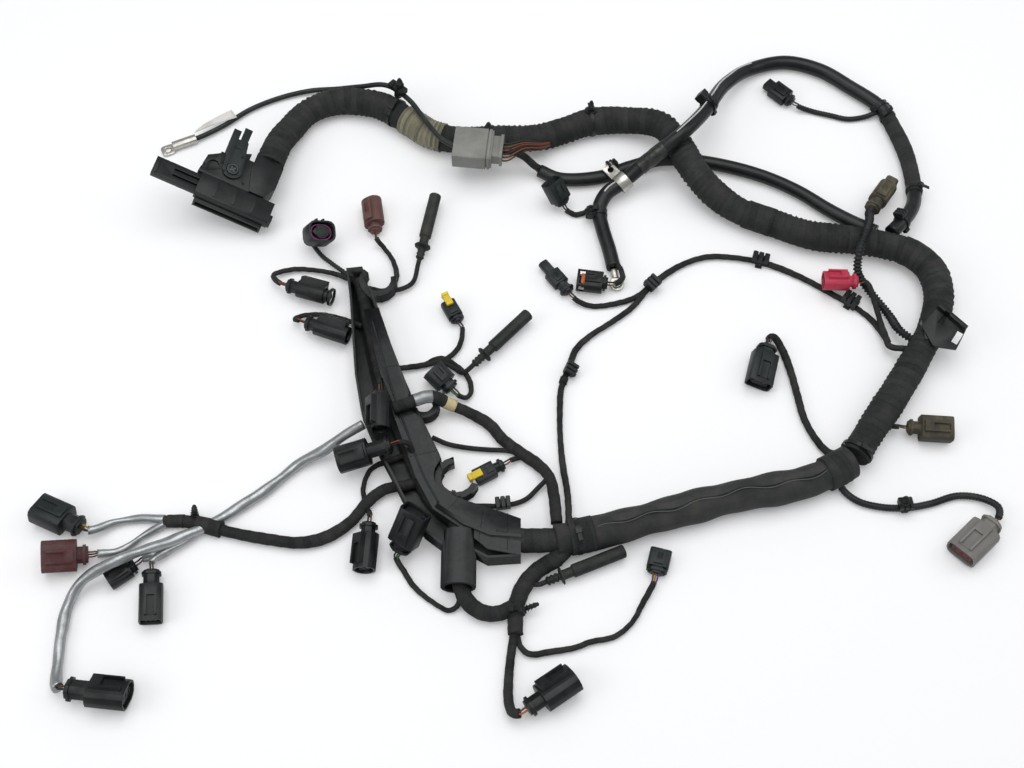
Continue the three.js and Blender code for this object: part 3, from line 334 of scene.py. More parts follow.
# Pieces. Nothing dips beneath the bench: what would is pressed flat on it
def onBench(point, gap=0.0001):
    return (point[0], point[1], max(point[2], gap))


def addPiece(name, mesh, finish, body="harness"):
    piece = bpy.data.objects.new(name, mesh)
    bpy.context.scene.collection.objects.link(piece)
    mesh.materials.clear()
    mesh.materials.append(finishes[finish])
    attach(piece, body)
    return piece


def fromFaces(name, points, faces, finish, body="harness", smooth=False):
    mesh = bpy.data.meshes.new(name)
    mesh.from_pydata([onBench(p) for p in points], [], faces)
    mesh.validate()
    form = bmesh.new()
    form.from_mesh(mesh)
    bmesh.ops.recalc_face_normals(form, faces=form.faces)
    form.to_mesh(mesh)
    form.free()
    mesh.polygons.foreach_set("use_smooth", [smooth] * len(mesh.polygons))
    return addPiece(name, mesh, finish, body)


def row(point):
    return Vector(((point[0] + 118) / 1000, (point[1] + 20) / 1000, point[2] / 1000))


# A smooth line through the route points, evenly spaced
def smoothLine(points, step=0.003):
    knots = [row(p) for p in points]
    padded = [knots[0] * 2 - knots[1], *knots, knots[-1] * 2 - knots[-2]]
    fine = []
    for i in range(len(knots) - 1):
        a, b, c, d = padded[i:i + 4]
        t1 = max(1e-6, (b - a).length ** 0.5)
        t2 = t1 + max(1e-6, (c - b).length ** 0.5)
        t3 = t2 + max(1e-6, (d - c).length ** 0.5)
        for k in range(24):
            t = t1 + (t2 - t1) * k / 24
            a1 = a * ((t1 - t) / t1) + b * (t / t1)
            a2 = b * ((t2 - t) / (t2 - t1)) + c * ((t - t1) / (t2 - t1))
            a3 = c * ((t3 - t) / (t3 - t2)) + d * ((t - t2) / (t3 - t2))
            b1 = a1 * ((t2 - t) / t2) + a2 * (t / t2)
            b2 = a2 * ((t3 - t) / (t3 - t1)) + a3 * ((t - t1) / (t3 - t1))
            fine.append(b1 * ((t2 - t) / (t2 - t1)) + b2 * ((t - t1) / (t2 - t1)))
    fine.append(knots[-1])
    return evenly(fine, step)


def lengthOf(line):
    return sum((b - a).length for a, b in zip(line, line[1:]))


def evenly(line, step):
    total = lengthOf(line)
    count = max(2, round(total / step))
    result, walked, i = [line[0]], 0.0, 0
    for k in range(1, count):
        goal = total * k / count
        while walked + (line[i + 1] - line[i]).length < goal:
            walked += (line[i + 1] - line[i]).length
            i += 1
        part = line[i + 1] - line[i]
        result.append(line[i] + part * ((goal - walked) / max(1e-9, part.length)))
    result.append(line[-1])
    return result


def cutLine(line, start, end):
    total = lengthOf(line)
    end = total + end if end <= 0 else end
    walked, result = 0.0, []
    for a, b in zip(line, line[1:]):
        if start <= walked <= end:
            result.append(a)
        walked += (b - a).length
    if walked <= end + 1e-6:
        result.append(line[-1])
    return result


# A tube swept along a line; relief(distance, angle) adds to its radius
def sweepTube(name, line, diameter, finish, sides=20, relief=None, body="harness", start=0.0):
    points, faces, places = [], [], []
    tangent = (line[1] - line[0]).normalized()
    steep = abs(tangent.z) > 0.95
    side = (tangent.orthogonal() if steep else tangent.cross(Vector((0, 0, 1)))).normalized()
    walked = start
    for i, centre in enumerate(line):
        after = line[min(i + 1, len(line) - 1)]
        before = line[max(i - 1, 0)]
        tangent = (after - before).normalized()
        side = (side - tangent * side.dot(tangent)).normalized()
        up = side.cross(tangent)
        if i:
            walked += (centre - line[i - 1]).length
        for k in range(sides):
            angle = 2 * math.pi * k / sides
            radius = diameter / 2 + (relief(walked, angle) if relief else 0.0)
            points.append(centre + (side * math.cos(angle) + up * math.sin(angle)) * radius)
        places.append(walked)
    for i in range(len(line) - 1):
        for k in range(sides):
            a, b = i * sides + k, i * sides + (k + 1) % sides
            faces.append((a, b, b + sides, a + sides))
    last = (len(line) - 1) * sides
    faces.append(tuple(range(sides - 1, -1, -1)))
    faces.append(tuple(range(last, last + sides)))
    mesh = bpy.data.meshes.new(name)
    mesh.from_pydata([onBench(p) for p in points], [], faces)
    layer = mesh.uv_layers.new(name="along")
    for face in mesh.polygons:
        around = face.index % sides if face.index < (len(line) - 1) * sides else None
        for corner, vertex in zip(face.loop_indices, face.vertices):
            turn = (vertex % sides) / sides
            if around == sides - 1 and vertex % sides == 0:
                turn = 1.0
            layer.data[corner].uv = (places[vertex // sides], turn)
    mesh.polygons.foreach_set("use_smooth", [i < (len(line) - 1) * sides for i in range(len(mesh.polygons))])
    return addPiece(name, mesh, finish, body)


def lumps(seed, size, reach=0.022):
    return lambda s, a: size * (math.sin(s / reach + seed) * 0.5 + math.sin(s / reach * 2.3 + 2 * a + seed * 3) * 0.3
                                + math.sin(a * 3 + s / reach * 0.7 + seed) * 0.2)


def turns(seed, pitch, step, size):
    lump = lumps(seed, size)
    return lambda s, a: lump(s, a) + step * (1 - ((s / pitch + a / (2 * math.pi)) % 1.0))


# Short folds across the tape, in patches
def wrinkled(seed, pitch, step, size, fold):
    wound = turns(seed, pitch, step, size)
    bend = lambda s, a: math.sin(s / 0.00098 + 1.7 * math.sin(a + seed + s / 0.05) + s / 0.009)
    patch = lambda s, a: 0.4 + 0.6 * math.sin(1.3 * a + s / 0.031 + seed)
    return lambda s, a: wound(s, a) + fold * max(0.0, bend(s, a)) * patch(s, a)


def ribs(pitch, depth):
    return lambda s, a: depth * (max(-0.6, math.sin(2 * math.pi * s / pitch)) - 0.4)


plugForms = {
    "magenta_seal_plug": {"pose": (-203, 162, 11, -28, 58, -52), "body": (20, 28, 22, 7), "neck": (7, 14, 12)},
    "brown_plug": {"pose": (-140, 170, 10.2, 99, 0, -30), "body": (30, 22, 17, 9), "neck": (9, 11, 11)},
    "injector_plug_1": {"pose": (-225, 105, 12, -17, 0, -55), "body": (36, 20, 18, 9), "neck": (12, 12, 12)},
    "injector_plug_2": {"pose": (-203, 61.4, 13, -20, 0, -55), "body": (34, 20, 18, 9), "neck": (11, 12, 12)},
    "injector_plug_3": {"pose": (-124, -26, 34.6, -88, 0, 55), "body": (34, 20, 18, 9), "neck": (5, 12, 12)},
    "injector_plug_4": {"pose": (-112, -80, 34, 193, -12, -20), "body": (30, 26, 19, 9), "neck": (22, 14, 13)},
    "yellow_tab_plug_1": {"pose": (-53, 66, 7, 118, 0, 0), "body": (18, 15, 12, 3), "neck": (6, 11, 9)},
    "round_lock_plug": {"pose": (-58, -10, 9, 136, 12, 0), "body": (19, 24, 17, 8), "neck": (8, 14, 12)},
    "yellow_tab_plug_2": {"pose": (-8, -88, 7, 209, 0, 0), "body": (20, 16, 12, 3), "neck": (10, 10, 9)},
    "barrel_plug": {"pose": (-131, -149, 11, -93, 0, 40), "body": (34, 22, 19, 9), "neck": (11, 13, 13)},
    "blue_line_plug": {"pose": (-102, -176, 13, 58, 45, 0), "body": (34, 27, 20, 4), "neck": (10, 17, 13)},
    "small_purple_plug": {"pose": (130, -196, 7, 75, 0, 0), "body": (17, 20, 12, 3), "neck": (6, 16, 9)},
    "lower_barrel_plug": {"pose": (13, -319, 14, 34, 0, -40), "body": (34, 30, 21, 10), "neck": (15, 15, 13)},
    "printed_side_plug": {"pose": (-394, -153, 12.2, 156, 0, 18), "body": (32, 28, 19, 5), "neck": (15, 17, 13)},
    "red_core_plug": {"pose": (-384, -179, 11, 188, 12, -25), "body": (30, 29, 20, 7), "neck": (10, 15, 13)},
    "hidden_latch_plug": {"pose": (-341, -187, 7.5, 217, 0, 0), "body": (22, 17, 13, 4), "neck": (6, 12, 10)},
    "slotted_latch_plug": {"pose": (-325, -194, 10, -84, 0, -10), "body": (34, 21, 16, 4), "neck": (14, 14, 12)},
    "corner_plug": {"pose": (-384, -302, 13.6, -6, 0, -35), "body": (34, 30, 20, 9), "neck": (20, 17, 15)},
    "upright_plug": {"pose": (53, 205, 10, 135, 50, 0), "body": (22, 21, 18, 5), "neck": (6, 13, 11)},
    "window_plug": {"pose": (96, 108, 10.5, 172, 0, 0), "body": (26, 21, 15, 4), "neck": (5, 13, 10)},
    "slim_plug": {"pose": (57, 100, 7, 127, 0, 0), "body": (16, 17, 12, 4), "neck": (12, 12, 10)},
    "top_plug": {"pose": (304, 340, 7, 135, 0, 0), "body": (20, 19, 12, 3), "neck": (7, 12, 9)},
    "dusty_plug": {"pose": (368, 189, 23, 56, -11, 0), "body": (28, 19, 16, 6), "neck": (14, 13, 12)},
    "red_plug": {"pose": (345, 106, 17.5, 178, 0, 15), "body": (25, 20, 16, 7), "neck": (9, 13, 11)},
    "leaning_plug": {"pose": (250, 36, 11, -106, 0, -14), "body": (34, 26, 17, 4), "neck": (10, 16, 13)},
    "right_edge_plug": {"pose": (375, -52, 12, -4, 0, 12), "body": (30, 24, 18, 4), "neck": (12, 12, 11)},
    "light_grey_plug": {"pose": (441, -148, 12, 222, 0, 10), "body": (36, 30, 19, 6), "neck": (11, 17, 14)},
}

routes = {
    "trunkUpper": [(-253.3, 245.2, 22.5), (-249.6, 260, 22.5), (-245, 278, 19), (-235, 298, 15), (-219, 320, 14.4),
        (-191, 334, 14.4), (-164, 334, 14.4), (-137, 327, 14.4), (-109, 307, 14.4), (-87, 291, 14.4),
        (-55, 283, 14.4), (-13, 284, 14.4), (30, 287, 14.4), (56, 296, 14.4), (83, 307, 14.4), (121, 308, 16),
        (156, 295, 25), (174, 266, 29.2), (188, 235, 28), (208, 212, 20), (232, 194, 15), (265, 179, 14.4),
        (304, 163, 14.4), (344, 157, 15), (379, 150, 16), (404, 139, 17), (421, 119, 17), (424, 93, 17),
        (413, 56, 17), (390, 16, 17), (365, -22, 17), (339, -57, 17), (320, -84, 17)],
    "trunkLower": [(315, -90, 17), (297, -100, 17), (266, -112, 16), (229, -120, 16), (191, -128, 16),
        (154, -138, 16), (117, -149, 16), (80, -159, 16), (46, -166, 16), (30, -169, 16)],
    "earth": [(-59.5, 257.95, 37), (-74, 268, 37), (-92, 294, 36), (-110, 322, 34), (-135, 344, 30),
        (-164, 352, 18), (-192, 357, 8), (-220, 357, 5), (-253, 348, 4), (-284, 332, 4), (-309, 311, 4.5),
        (-328, 297.8, 5), (-338, 292.4, 5), (-346.5, 288.6, 5)],
    "hoseLower": [(29, 248, 8), (50, 238, 7.4), (92, 240, 7.4), (125, 253, 7.4), (157, 263, 7.4), (188, 262, 7.4),
        (220, 256, 7.4), (251, 246, 8), (276, 235, 8), (301, 220, 8), (329, 198, 8), (352, 181, 10), (372, 168, 13)],
    "hoseLoop": [(103, 128, 8), (99, 150, 8), (93, 176, 8), (90, 198, 9), (98, 215, 13), (115, 226, 18.5),
        (133, 238, 28), (152, 248, 41), (175, 262, 53), (200, 294, 47), (229, 348, 26), (262, 383, 10),
        (301, 394, 8), (338, 383, 8), (369, 359, 8), (398, 332, 8), (410, 301, 8), (418, 268, 8), (420, 228, 9),
        (416, 205, 14), (408, 188, 20), (396, 172, 24), (384, 160, 24)],
    "corrugated": [(396, 36, 17), (381, 52, 14), (375, 72, 8), (365, 92, 6), (354, 108, 9), (346, 116, 20),
        (346, 130, 34), (354, 151, 38), (362, 172, 31)],
    "longBranch": [(392, 30, 16), (370, 35, 12), (368, 48, 7), (358, 70, 3.2), (343, 85, 3.2), (325, 98, 3.2),
        (292, 120, 3.2), (258, 136, 3.2), (223, 143, 4), (197, 143, 4), (171, 133, 4), (141, 110, 4), (120, 84, 4),
        (99, 67, 4), (77, 51, 4), (63, 36, 4), (56, 17, 4), (48, -6, 4), (46, -32, 4), (46, -62, 4), (48, -90, 4),
        (51, -112, 6), (52, -130, 10), (52, -150, 13)],
    "midBranch": [(-112, -41, 30.6), (-101, -37, 30.8), (-92, -33, 30.6), (-76, -27, 27), (-60, -29, 15),
        (-38, -36, 7), (-21, -47, 6), (-9, -62, 6), (8, -76, 6), (24, -88, 6), (35, -104, 12), (39, -124, 13),
        (41, -150, 14)],
    "silverLeft": [(-139, -57, 29), (-156, -66, 25), (-175, -76, 14), (-199, -87, 7), (-225, -110, 6),
        (-251, -130, 6), (-276, -147, 6)],
    "leftLoom": [(-82, -104, 9), (-98, -110, 8.5), (-112, -112, 8), (-122, -116, 8), (-134, -126, 6),
        (-149, -146, 6), (-171, -161, 6), (-194, -166, 6), (-221, -163, 6), (-257, -156, 6), (-282, -149, 6),
        (-301, -145, 6), (-320, -145, 6)],
    "sleevePrinted": [(-320, -143, 6), (-343, -142, 5), (-365, -146, 6)],
    "sleeveRedCore": [(-318, -147, 6), (-337, -158, 5), (-349, -168, 5), (-362, -175, 6)],
    "sleeveHidden": [(-285, -150, 7), (-303, -166, 6), (-320, -180, 7)],
    "sleeveSlotted": [(-282, -151, 7), (-300, -166, 7), (-322, -180, 9)],
    "sleeveCorner": [(-280, -150, 7), (-312, -168, 13), (-337, -181, 22), (-363, -194, 23), (-386, -206, 13),
        (-397, -225, 6), (-399, -250, 6), (-398, -275, 6), (-396, -292, 9)],
    "trayLoom": [(-154, 113, 8.5), (-150, 100, 8), (-143, 70, 8), (-133, 30, 8), (-120, -15, 8), (-106, -55, 8),
        (-90, -95, 8), (-74, -126, 9), (-50, -148, 12), (-10, -160, 13), (36, -167, 14), (46, -166, 14)],
    "trayOutlet": [(-52, -148, 14), (-48, -170, 16), (-47, -206, 14), (-40, -222, 9), (-27, -232, 8),
        (-12, -233, 8), (3, -226, 8)],
    "dropLoom": [(52, -170, 13), (40, -183, 11), (24, -193, 9.5), (12, -206, 8.4), (5, -222, 8), (3, -238, 8),
        (3, -252, 8)],
    "leadLowerBarrel": [(2, -250, 6), (-1, -270, 4), (-3, -292, 4.2), (-3, -310, 6), (0, -321, 10)],
    "leadSmallPurple": [(4, -249, 5), (8, -263, 4), (16, -269, 4), (33, -267, 4), (56, -263, 4), (69, -258, 4),
        (91, -253, 4), (107, -240, 4), (117, -223, 4)],
    "leadBoot3": [(8, -208, 8), (16, -206, 8)],
    "leadSlim": [(142, 112, 4), (124, 96, 3.2), (100, 88, 3), (80, 86, 3), (67, 90, 5)],
    "leadUpright": [(90, 203, 8), (78, 199, 4), (66, 196, 3)],
    "leadLeaning": [(312, -82, 12), (299, -75, 5), (288, -59, 4), (280, -39, 4), (276, -14, 4), (272, 11, 4),
        (266, 35, 4), (258, 48, 8)],
    "leadRightEdge": [(352, -50, 12), (360, -51, 12)],
    "leadLightGrey": [(302, -96, 12), (308, -112, 5), (321, -124, 4), (341, -130, 4), (364, -131, 4),
        (388, -127, 4), (415, -119, 4), (437, -122, 5), (449, -132, 9)],
    "leadTop": [(393, 325, 8), (381, 322, 4), (363, 320, 3), (344, 325, 3), (324, 331, 3)],
    "leadRed": [(369, 40, 11), (364, 62, 12), (360, 84, 15), (357, 99, 17)],
    "leadMagenta": [(-154, 104, 8), (-168, 122, 6), (-182, 134, 5), (-195, 146, 4)],
    "leadBrown": [(-146, 104, 8), (-127, 101, 8), (-117, 116, 6), (-121, 138, 5), (-131, 154, 5)],
    "leadBoot1": [(-128, 101, 8), (-112, 104, 6), (-100, 112, 6)],
    "leadInjector1": [(-154, 110, 8), (-179, 122, 6), (-200, 127, 5), (-222, 128, 5), (-241, 120, 7)],
    "leadInjector2": [(-148, 60, 8), (-168, 70, 5), (-190, 75, 5), (-209, 73, 6), (-215, 67, 10)],
    "leadInjector3": [(-121, -6, 9), (-126, -5, 18), (-127, -9, 29)],
    "leadInjector4": [(-92, -88, 9), (-92, -84, 20), (-96, -78, 32)],
    "leadWindow": [(106, 131, 12), (110, 122, 12.5), (111, 113, 12)],
    "leadInline": [(34, 247, 8), (24, 250, 14), (12, 252, 28)],
    "leadYellow1": [(-126, 10, 8), (-109, 14, 6), (-85, 19, 4), (-64, 26, 4), (-52, 40, 4)],
    "leadRoundLock": [(-85, 19, 4), (-70, 26, 4), (-54, 18, 3), (-42, 4, 3), (-40, -12, 4), (-45, -18, 6)],
    "leadBoot2": [(-72, 25, 4), (-56, 15, 4), (-48, 9, 6)],
    "leadBarrel": [(-96, -78, 8), (-112, -83, 6), (-132, -92, 5), (-139, -112, 4), (-134, -132, 5)],
    "leadBlueLine": [(-46, -210, 12), (-48, -224, 6), (-56, -229, 3), (-70, -222, 3), (-88, -207, 3), (-98, -192, 3)],
    "leadYellow2": [(26, -92, 6), (16, -83, 4), (8, -80, 4)],
    "twisted": [(-76, -60, 6), (-61, -66, 4), (-42, -70, 4), (-22, -72, 4), (-4, -73, 4), (12, -79, 6)],
    "clipLead": [(-38, -129, 4), (-24, -129, 4), (-9, -129, 4), (12, -123, 4), (26, -110, 6), (35, -102, 10)],
}


def plugPlace(name):
    x, y, z, heading, pitch, roll = plugForms[name]["pose"]
    turn = (Matrix.Rotation(math.radians(heading), 4, "Z") @ Matrix.Rotation(math.radians(-pitch), 4, "Y")
            @ Matrix.Rotation(math.radians(roll), 4, "X"))
    return Matrix.Translation(row((x, y, z))) @ turn


def leadEnds(name, distance=8.0):
    place = plugPlace(name)
    back = [place @ Vector((-d / 1000, 0, 0)) for d in (distance, 0.3)]
    return [(p.x * 1000 - 118, p.y * 1000 - 20, p.z * 1000) for p in back]


# Plug shells and the other mouldings: the solid's own form with its edges softened
def moulded(node, finish=None, edge=0.45, angle=28, endX=None):
    source = frame["nodes"][node]
    mesh = source.data.copy()
    form = bmesh.new()
    form.from_mesh(mesh)
    bmesh.ops.remove_doubles(form, verts=form.verts, dist=1e-6)
    if endX is not None:
        everything = [*form.verts, *form.edges, *form.faces]
        bmesh.ops.bisect_plane(form, geom=everything, plane_co=row((endX, 0, 0)), plane_no=(1, 0, 0),
                               clear_outer=True)
        bmesh.ops.triangle_fill(form, use_beauty=True, edges=[e for e in form.edges if e.is_boundary])
    bmesh.ops.dissolve_limit(form, angle_limit=math.radians(1.5), verts=form.verts, edges=form.edges)
    form.to_mesh(mesh)
    form.free()
    slotName = next(p["material_slot"] for p in frame["record"]["subparts"] if p["node"] == node)
    piece = addPiece(node + "_form", mesh, finish or slotName, bodyOf[node])
    soften = piece.modifiers.new("soften", "BEVEL")
    soften.width = edge / 1000
    soften.segments = 2
    soften.limit_method = "ANGLE"
    soften.angle_limit = math.radians(angle)
    soften.use_clamp_overlap = True
    depsgraph = bpy.context.evaluated_depsgraph_get()
    finished = bpy.data.meshes.new_from_object(piece.evaluated_get(depsgraph))
    piece.modifiers.clear()
    piece.data = finished
    finished.shade_smooth()
    finished.set_sharp_from_angle(angle=math.radians(40))
    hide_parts(node)
    return piece


trayEnd = {"injector_tray": 8.0, "tray_lid": 8.0}  # a taped neck goes on from here to the trunk
cordNodes = frame["record"]["physics"]["cord_nodes"]
hardNodes = [p["node"] for p in frame["record"]["subparts"] if p["node"] not in cordNodes]
for node in hardNodes:
    if node != "shield_wrap":
        moulded(node, endX=trayEnd.get(node))


# Cords
cordLines = {}


def makeCord(name, route, diameter, finish, node, ends=(), sides=16, relief=None,
             step=0.003, gap=0.0):
    line = smoothLine([*routes[route], *ends], step)
    if gap:
        line = cutLine(line, 0.0, -gap)
    cordLines[name] = line
    piece = sweepTube(name, line, diameter / 1000, finish, sides, relief)
    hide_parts(node)
    return piece


trunk = {"upper": 28.0, "lower": 32.0}
makeCord("upperTrunk", "trunkUpper", trunk["upper"] - 0.8, "tape", "trunk_upper", sides=44, step=0.0013,
         relief=wrinkled(1.0, 0.0072, 0.0007, 0.0009, 0.0012))
makeCord("lowerTrunk", "trunkLower", trunk["lower"] - 1.6, "woven", "trunk_lower", sides=44, step=0.0025,
         relief=lumps(2.0, 0.0015, 0.013), gap=0.009)
makeCord("trayMain", "trayLoom", 13.6, "branchTape", "tray_loom", sides=24, relief=turns(3.0, 0.01, 0.0004, 0.0005))
makeCord("trayOutlet", "trayOutlet", 13.6, "branchTape", "tray_loom", sides=24,
         relief=turns(4.0, 0.01, 0.0005, 0.0005))
makeCord("hoseLoop", "hoseLoop", 15.0, "hose", "hose_loop", sides=32,
         relief=lumps(5.0, 0.0003, 0.05))
makeCord("hoseLower", "hoseLower", 14.0, "hose", "hose_lower", sides=32, relief=lumps(6.0, 0.0003, 0.05))
makeCord("dropLoom", "dropLoom", 14.4, "branchTape", "drop_loom", sides=28, step=0.002,
         relief=turns(6.5, 0.012, 0.0006, 0.0008))
makeCord("longBranch", "longBranch", 5.6, "branchTape", "long_branch", sides=16,
         relief=turns(7.0, 0.011, 0.0004, 0.0004))
makeCord("midBranch", "midBranch", 10.6, "branchTape", "mid_branch", sides=20,
         relief=turns(8.0, 0.011, 0.0005, 0.0005))
makeCord("leftLoom", "leftLoom", 10.6, "branchTape", "left_loom", sides=22, relief=turns(9.0, 0.012, 0.0004, 0.0006))
makeCord("silverLeft", "silverLeft", 9.8, "silver", "left_loom", sides=22, relief=lumps(10.0, 0.0008, 0.012))
makeCord("earthCable", "earth", 5.4, "cable", "earth_cable", sides=16)
makeCord("corrugated", "corrugated", 8.0, "conduit", "corrugated_tube", leadEnds("dusty_plug", 6), 20,
         ribs(0.0036, 0.001), step=0.0008)

leads = [
    ("leadMagenta", "magenta_seal_plug", "tray_loom", 5, "conduit", ["black", "brown"]),
    ("leadBrown", "brown_plug", "tray_loom", 5, "branchTape", ["brown", "black"]),
    ("leadInjector1", "injector_plug_1", "tray_loom", 5, "branchTape", ["redBrown", "brown", "black"]),
    ("leadInjector2", "injector_plug_2", "tray_loom", 5, "branchTape", ["redBrown", "black"]),
    ("leadInjector3", "injector_plug_3", "tray_loom", 5, "branchTape", ["redBrown", "black"]),
    ("leadInjector4", "injector_plug_4", "tray_loom", 5, "branchTape", ["redBrown", "black"]),
    ("leadYellow1", "yellow_tab_plug_1", "tray_loom", 5, "branchTape", ["black", "brown"]),
    ("leadRoundLock", "round_lock_plug", "tray_loom", 5, "branchTape", ["black", "brown", "green"]),
    ("leadBarrel", "barrel_plug", "tray_loom", 5, "branchTape", ["black", "brown"]),
    ("leadBlueLine", "blue_line_plug", "tray_loom", 5, "branchTape", ["green", "green", "black"]),
    ("leadYellow2", "yellow_tab_plug_2", "mid_branch", 5, "branchTape", ["black", "brown"]),
    ("leadLowerBarrel", "lower_barrel_plug", "drop_loom", 8, "branchTape",
     ["orangeBrown", "orangeBrown", "brown", "black"]),
    ("leadSmallPurple", "small_purple_plug", "drop_loom", 5, "branchTape", ["purple", "yellowBrown", "brown"]),
    ("sleevePrinted", "printed_side_plug", "left_loom", 8, "silver", ["yellowBrown", "brown", "black"]),
    ("sleeveRedCore", "red_core_plug", "left_loom", 7, "silver", ["brown", "black", "redBrown"]),
    ("sleeveHidden", "hidden_latch_plug", "left_loom", 6, "silver", ["black", "brown"]),
    ("sleeveSlotted", "slotted_latch_plug", "left_loom", 7, "silver", ["black", "brown"]),
    ("sleeveCorner", "corner_plug", "left_loom", 10, "silver", ["black", "black", "brown"]),
    ("leadSlim", "slim_plug", "long_branch", 5, "branchTape", ["black", "brown"]),
    ("leadRed", "red_plug", "long_branch", 5, "branchTape", ["black", "brown"]),
    ("leadUpright", "upright_plug", "upright_plug_lead", 5, "branchTape", ["black", "brown"]),
    ("leadLeaning", "leaning_plug", "leaning_plug_lead", 7, "branchTape", ["black", "brown", "grey"]),
    ("leadRightEdge", "right_edge_plug", "right_edge_lead", 5, "branchTape", ["brown", "black"]),
    ("leadLightGrey", "light_grey_plug", "light_grey_lead", 7, "conduit", ["black", "brown"]),
    ("leadTop", "top_plug", "top_plug_lead", 6, "conduit", ["black", "grey"]),
    ("leadWindow", "window_plug", "hose_loop", 5, "branchTape", ["black", "brown"]),
]
for index, (route, plug, node, diameter, finish, wires) in enumerate(leads):
    distance = 7.0 if plug in ("injector_plug_3", "injector_plug_4", "window_plug") else 8.0
    relief = (ribs(0.003, 0.0003) if finish == "conduit" else lumps(index, 0.0007, 0.01) if finish == "silver"
              else turns(index, 0.01, 0.0004, 0.0004))
    makeCord(route, route, diameter - 0.2, finish, node, leadEnds(plug, distance), 14, relief,
             step=0.001 if finish == "conduit" else 0.0025, gap=0.006)

boots = {"boot_1": (-94, 138, 9, 79, 3), "boot_2": (-37, 17, 9, 46, 2), "boot_3": (31, -204, 9, 22, 1)}
for boot, (x, y, z, heading, pitch) in boots.items():
    plugForms[boot] = {"pose": (x, y, z, heading, pitch, 0)}
makeCord("leadBoot1", "leadBoot1", 4.8, "branchTape", "tray_loom", leadEnds("boot_1", 7), 12)
makeCord("leadBoot2", "leadBoot2", 4.8, "branchTape", "tray_loom", leadEnds("boot_2", 7), 12)
makeCord("leadBoot3", "leadBoot3", 4.8, "branchTape", "drop_loom", leadEnds("boot_3", 7), 12)
makeCord("twisted", "twisted", 4.8, "branchTape", "mid_branch", sides=12)
makeCord("clipLead", "clipLead", 4.8, "branchTape", "mid_branch", sides=12)
inlineEnd = [(-9.28 + 8 * 0.9945 - 0.0, 252.67 - 8 * 0.1045, 37), (-8.98, 252.64, 37)]
makeCord("leadInline", "leadInline", 7.8, "branchTape", "hose_lower", inlineEnd, 16)
print("cords made:", len(cordLines))

# Shield wrap on the upper trunk
wrap = {"from": 0.195, "to": 0.24, "diameter": 0.0312}
wrapLine = smoothLine([(-114, 311, 14.4), (-103, 303, 14.4), (-88, 291.5, 14.4), (-73, 286, 14.4)], 0.0012)
shield = sweepTube("shieldWrap", wrapLine, wrap["diameter"], "khaki", 36, ribs(0.0032, 0.0006))
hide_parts("shield_wrap")
neckLine = smoothLine([(-14, -164, 13.2), (8, -166.5, 14), (24, -167, 15), (44, -166.6, 16)], 0.0014)
sweepTube("trayNeck", neckLine, 0.0215, "tape", 36, turns(14.0, 0.012, 0.0005, 0.0007))
print("wraps made")


# Wires bare between a lead's sleeve and its plug
def wireFan(plug, line, colors):
    place = plugPlace(plug)
    heading = (line[-1] - line[-4]).normalized() if len(line) > 4 else (line[-1] - line[0]).normalized()
    for k, color in enumerate(colors):
        spread = (k - (len(colors) - 1) / 2) * 2.2 / 1000
        entry = place @ Vector((0.002, spread, 0.0008 * (-1) ** k))
        near = place @ Vector((-0.0035, spread, 0.0008 * (-1) ** k))
        bulge = line[-1] + Vector((0, 0, 0.0012)) + (entry - place @ Vector((0.002, 0, 0))) * 0.8
        path = softPath([line[-1] - heading * 0.004, bulge, near, entry])
        sweepTube(f"{plug}_wire_{k + 1}", path, 0.00165, color, 8, body=bodyOf[plug] if plug in bodyOf else "harness")


def softPath(points, parts=6):
    knots = [Vector(p) for p in points]
    padded = [knots[0] * 2 - knots[1], *knots, knots[-1] * 2 - knots[-2]]
    fine = []
    for i in range(len(knots) - 1):
        a, b, c, d = padded[i:i + 4]
        for k in range(parts):
            t = k / parts
            curve = 2 * b + (c - a) * t + (2 * a - 5 * b + 4 * c - d) * t * t + (3 * b - a - 3 * c + d) * t ** 3
            fine.append(0.5 * curve)
    fine.append(knots[-1])
    return fine


for route, plug, node, diameter, finish, wires in leads:
    wireFan(plug, cordLines[route], wires)
print("wires made")


# Flat rounded outlines in a plug's own frame, drawn out along its length
def roundedLoop(width, height, radius, steps=5):
    radius = min(radius, width / 2 - 0.01, height / 2 - 0.01)
    loop = []
    for quarter, (sx, sy) in enumerate(((1, 1), (-1, 1), (-1, -1), (1, -1))):
        for i in range(steps + 1):
            angle = (quarter + i / steps) * math.pi / 2
            loop.append((sx * (width / 2 - radius) + radius * math.cos(angle),
                         sy * (height / 2 - radius) + radius * math.sin(angle)))
    return loop


def plugBar(name, plug, loop, start, end, finish, centre=(0.0, 0.0)):
    place = plugPlace(plug)
    points = [place @ Vector((x / 1000, (y + centre[0]) / 1000, (z + centre[1]) / 1000))
              for x in (start, end) for y, z in loop]
    count = len(loop)
    faces = [(k, (k + 1) % count, (k + 1) % count + count, k + count) for k in range(count)]
    faces += [tuple(range(count - 1, -1, -1)), tuple(range(count, 2 * count))]
    return fromFaces(name, points, faces, finish)


def plugRing(name, plug, outer, inner, start, end, finish):
    place = plugPlace(plug)
    count = len(outer)
    rings = [(outer, start), (outer, end), (inner, end), (inner, start)]
    points = [place @ Vector((x / 1000, y / 1000, z / 1000)) for loop, x in rings for y, z in loop]
    faces = [(r * count + k, r * count + (k + 1) % count, ((r + 1) % 4) * count + (k + 1) % count,
              ((r + 1) % 4) * count + k)
             for r in range(4) for k in range(count)]
    return fromFaces(name, points, faces, finish)


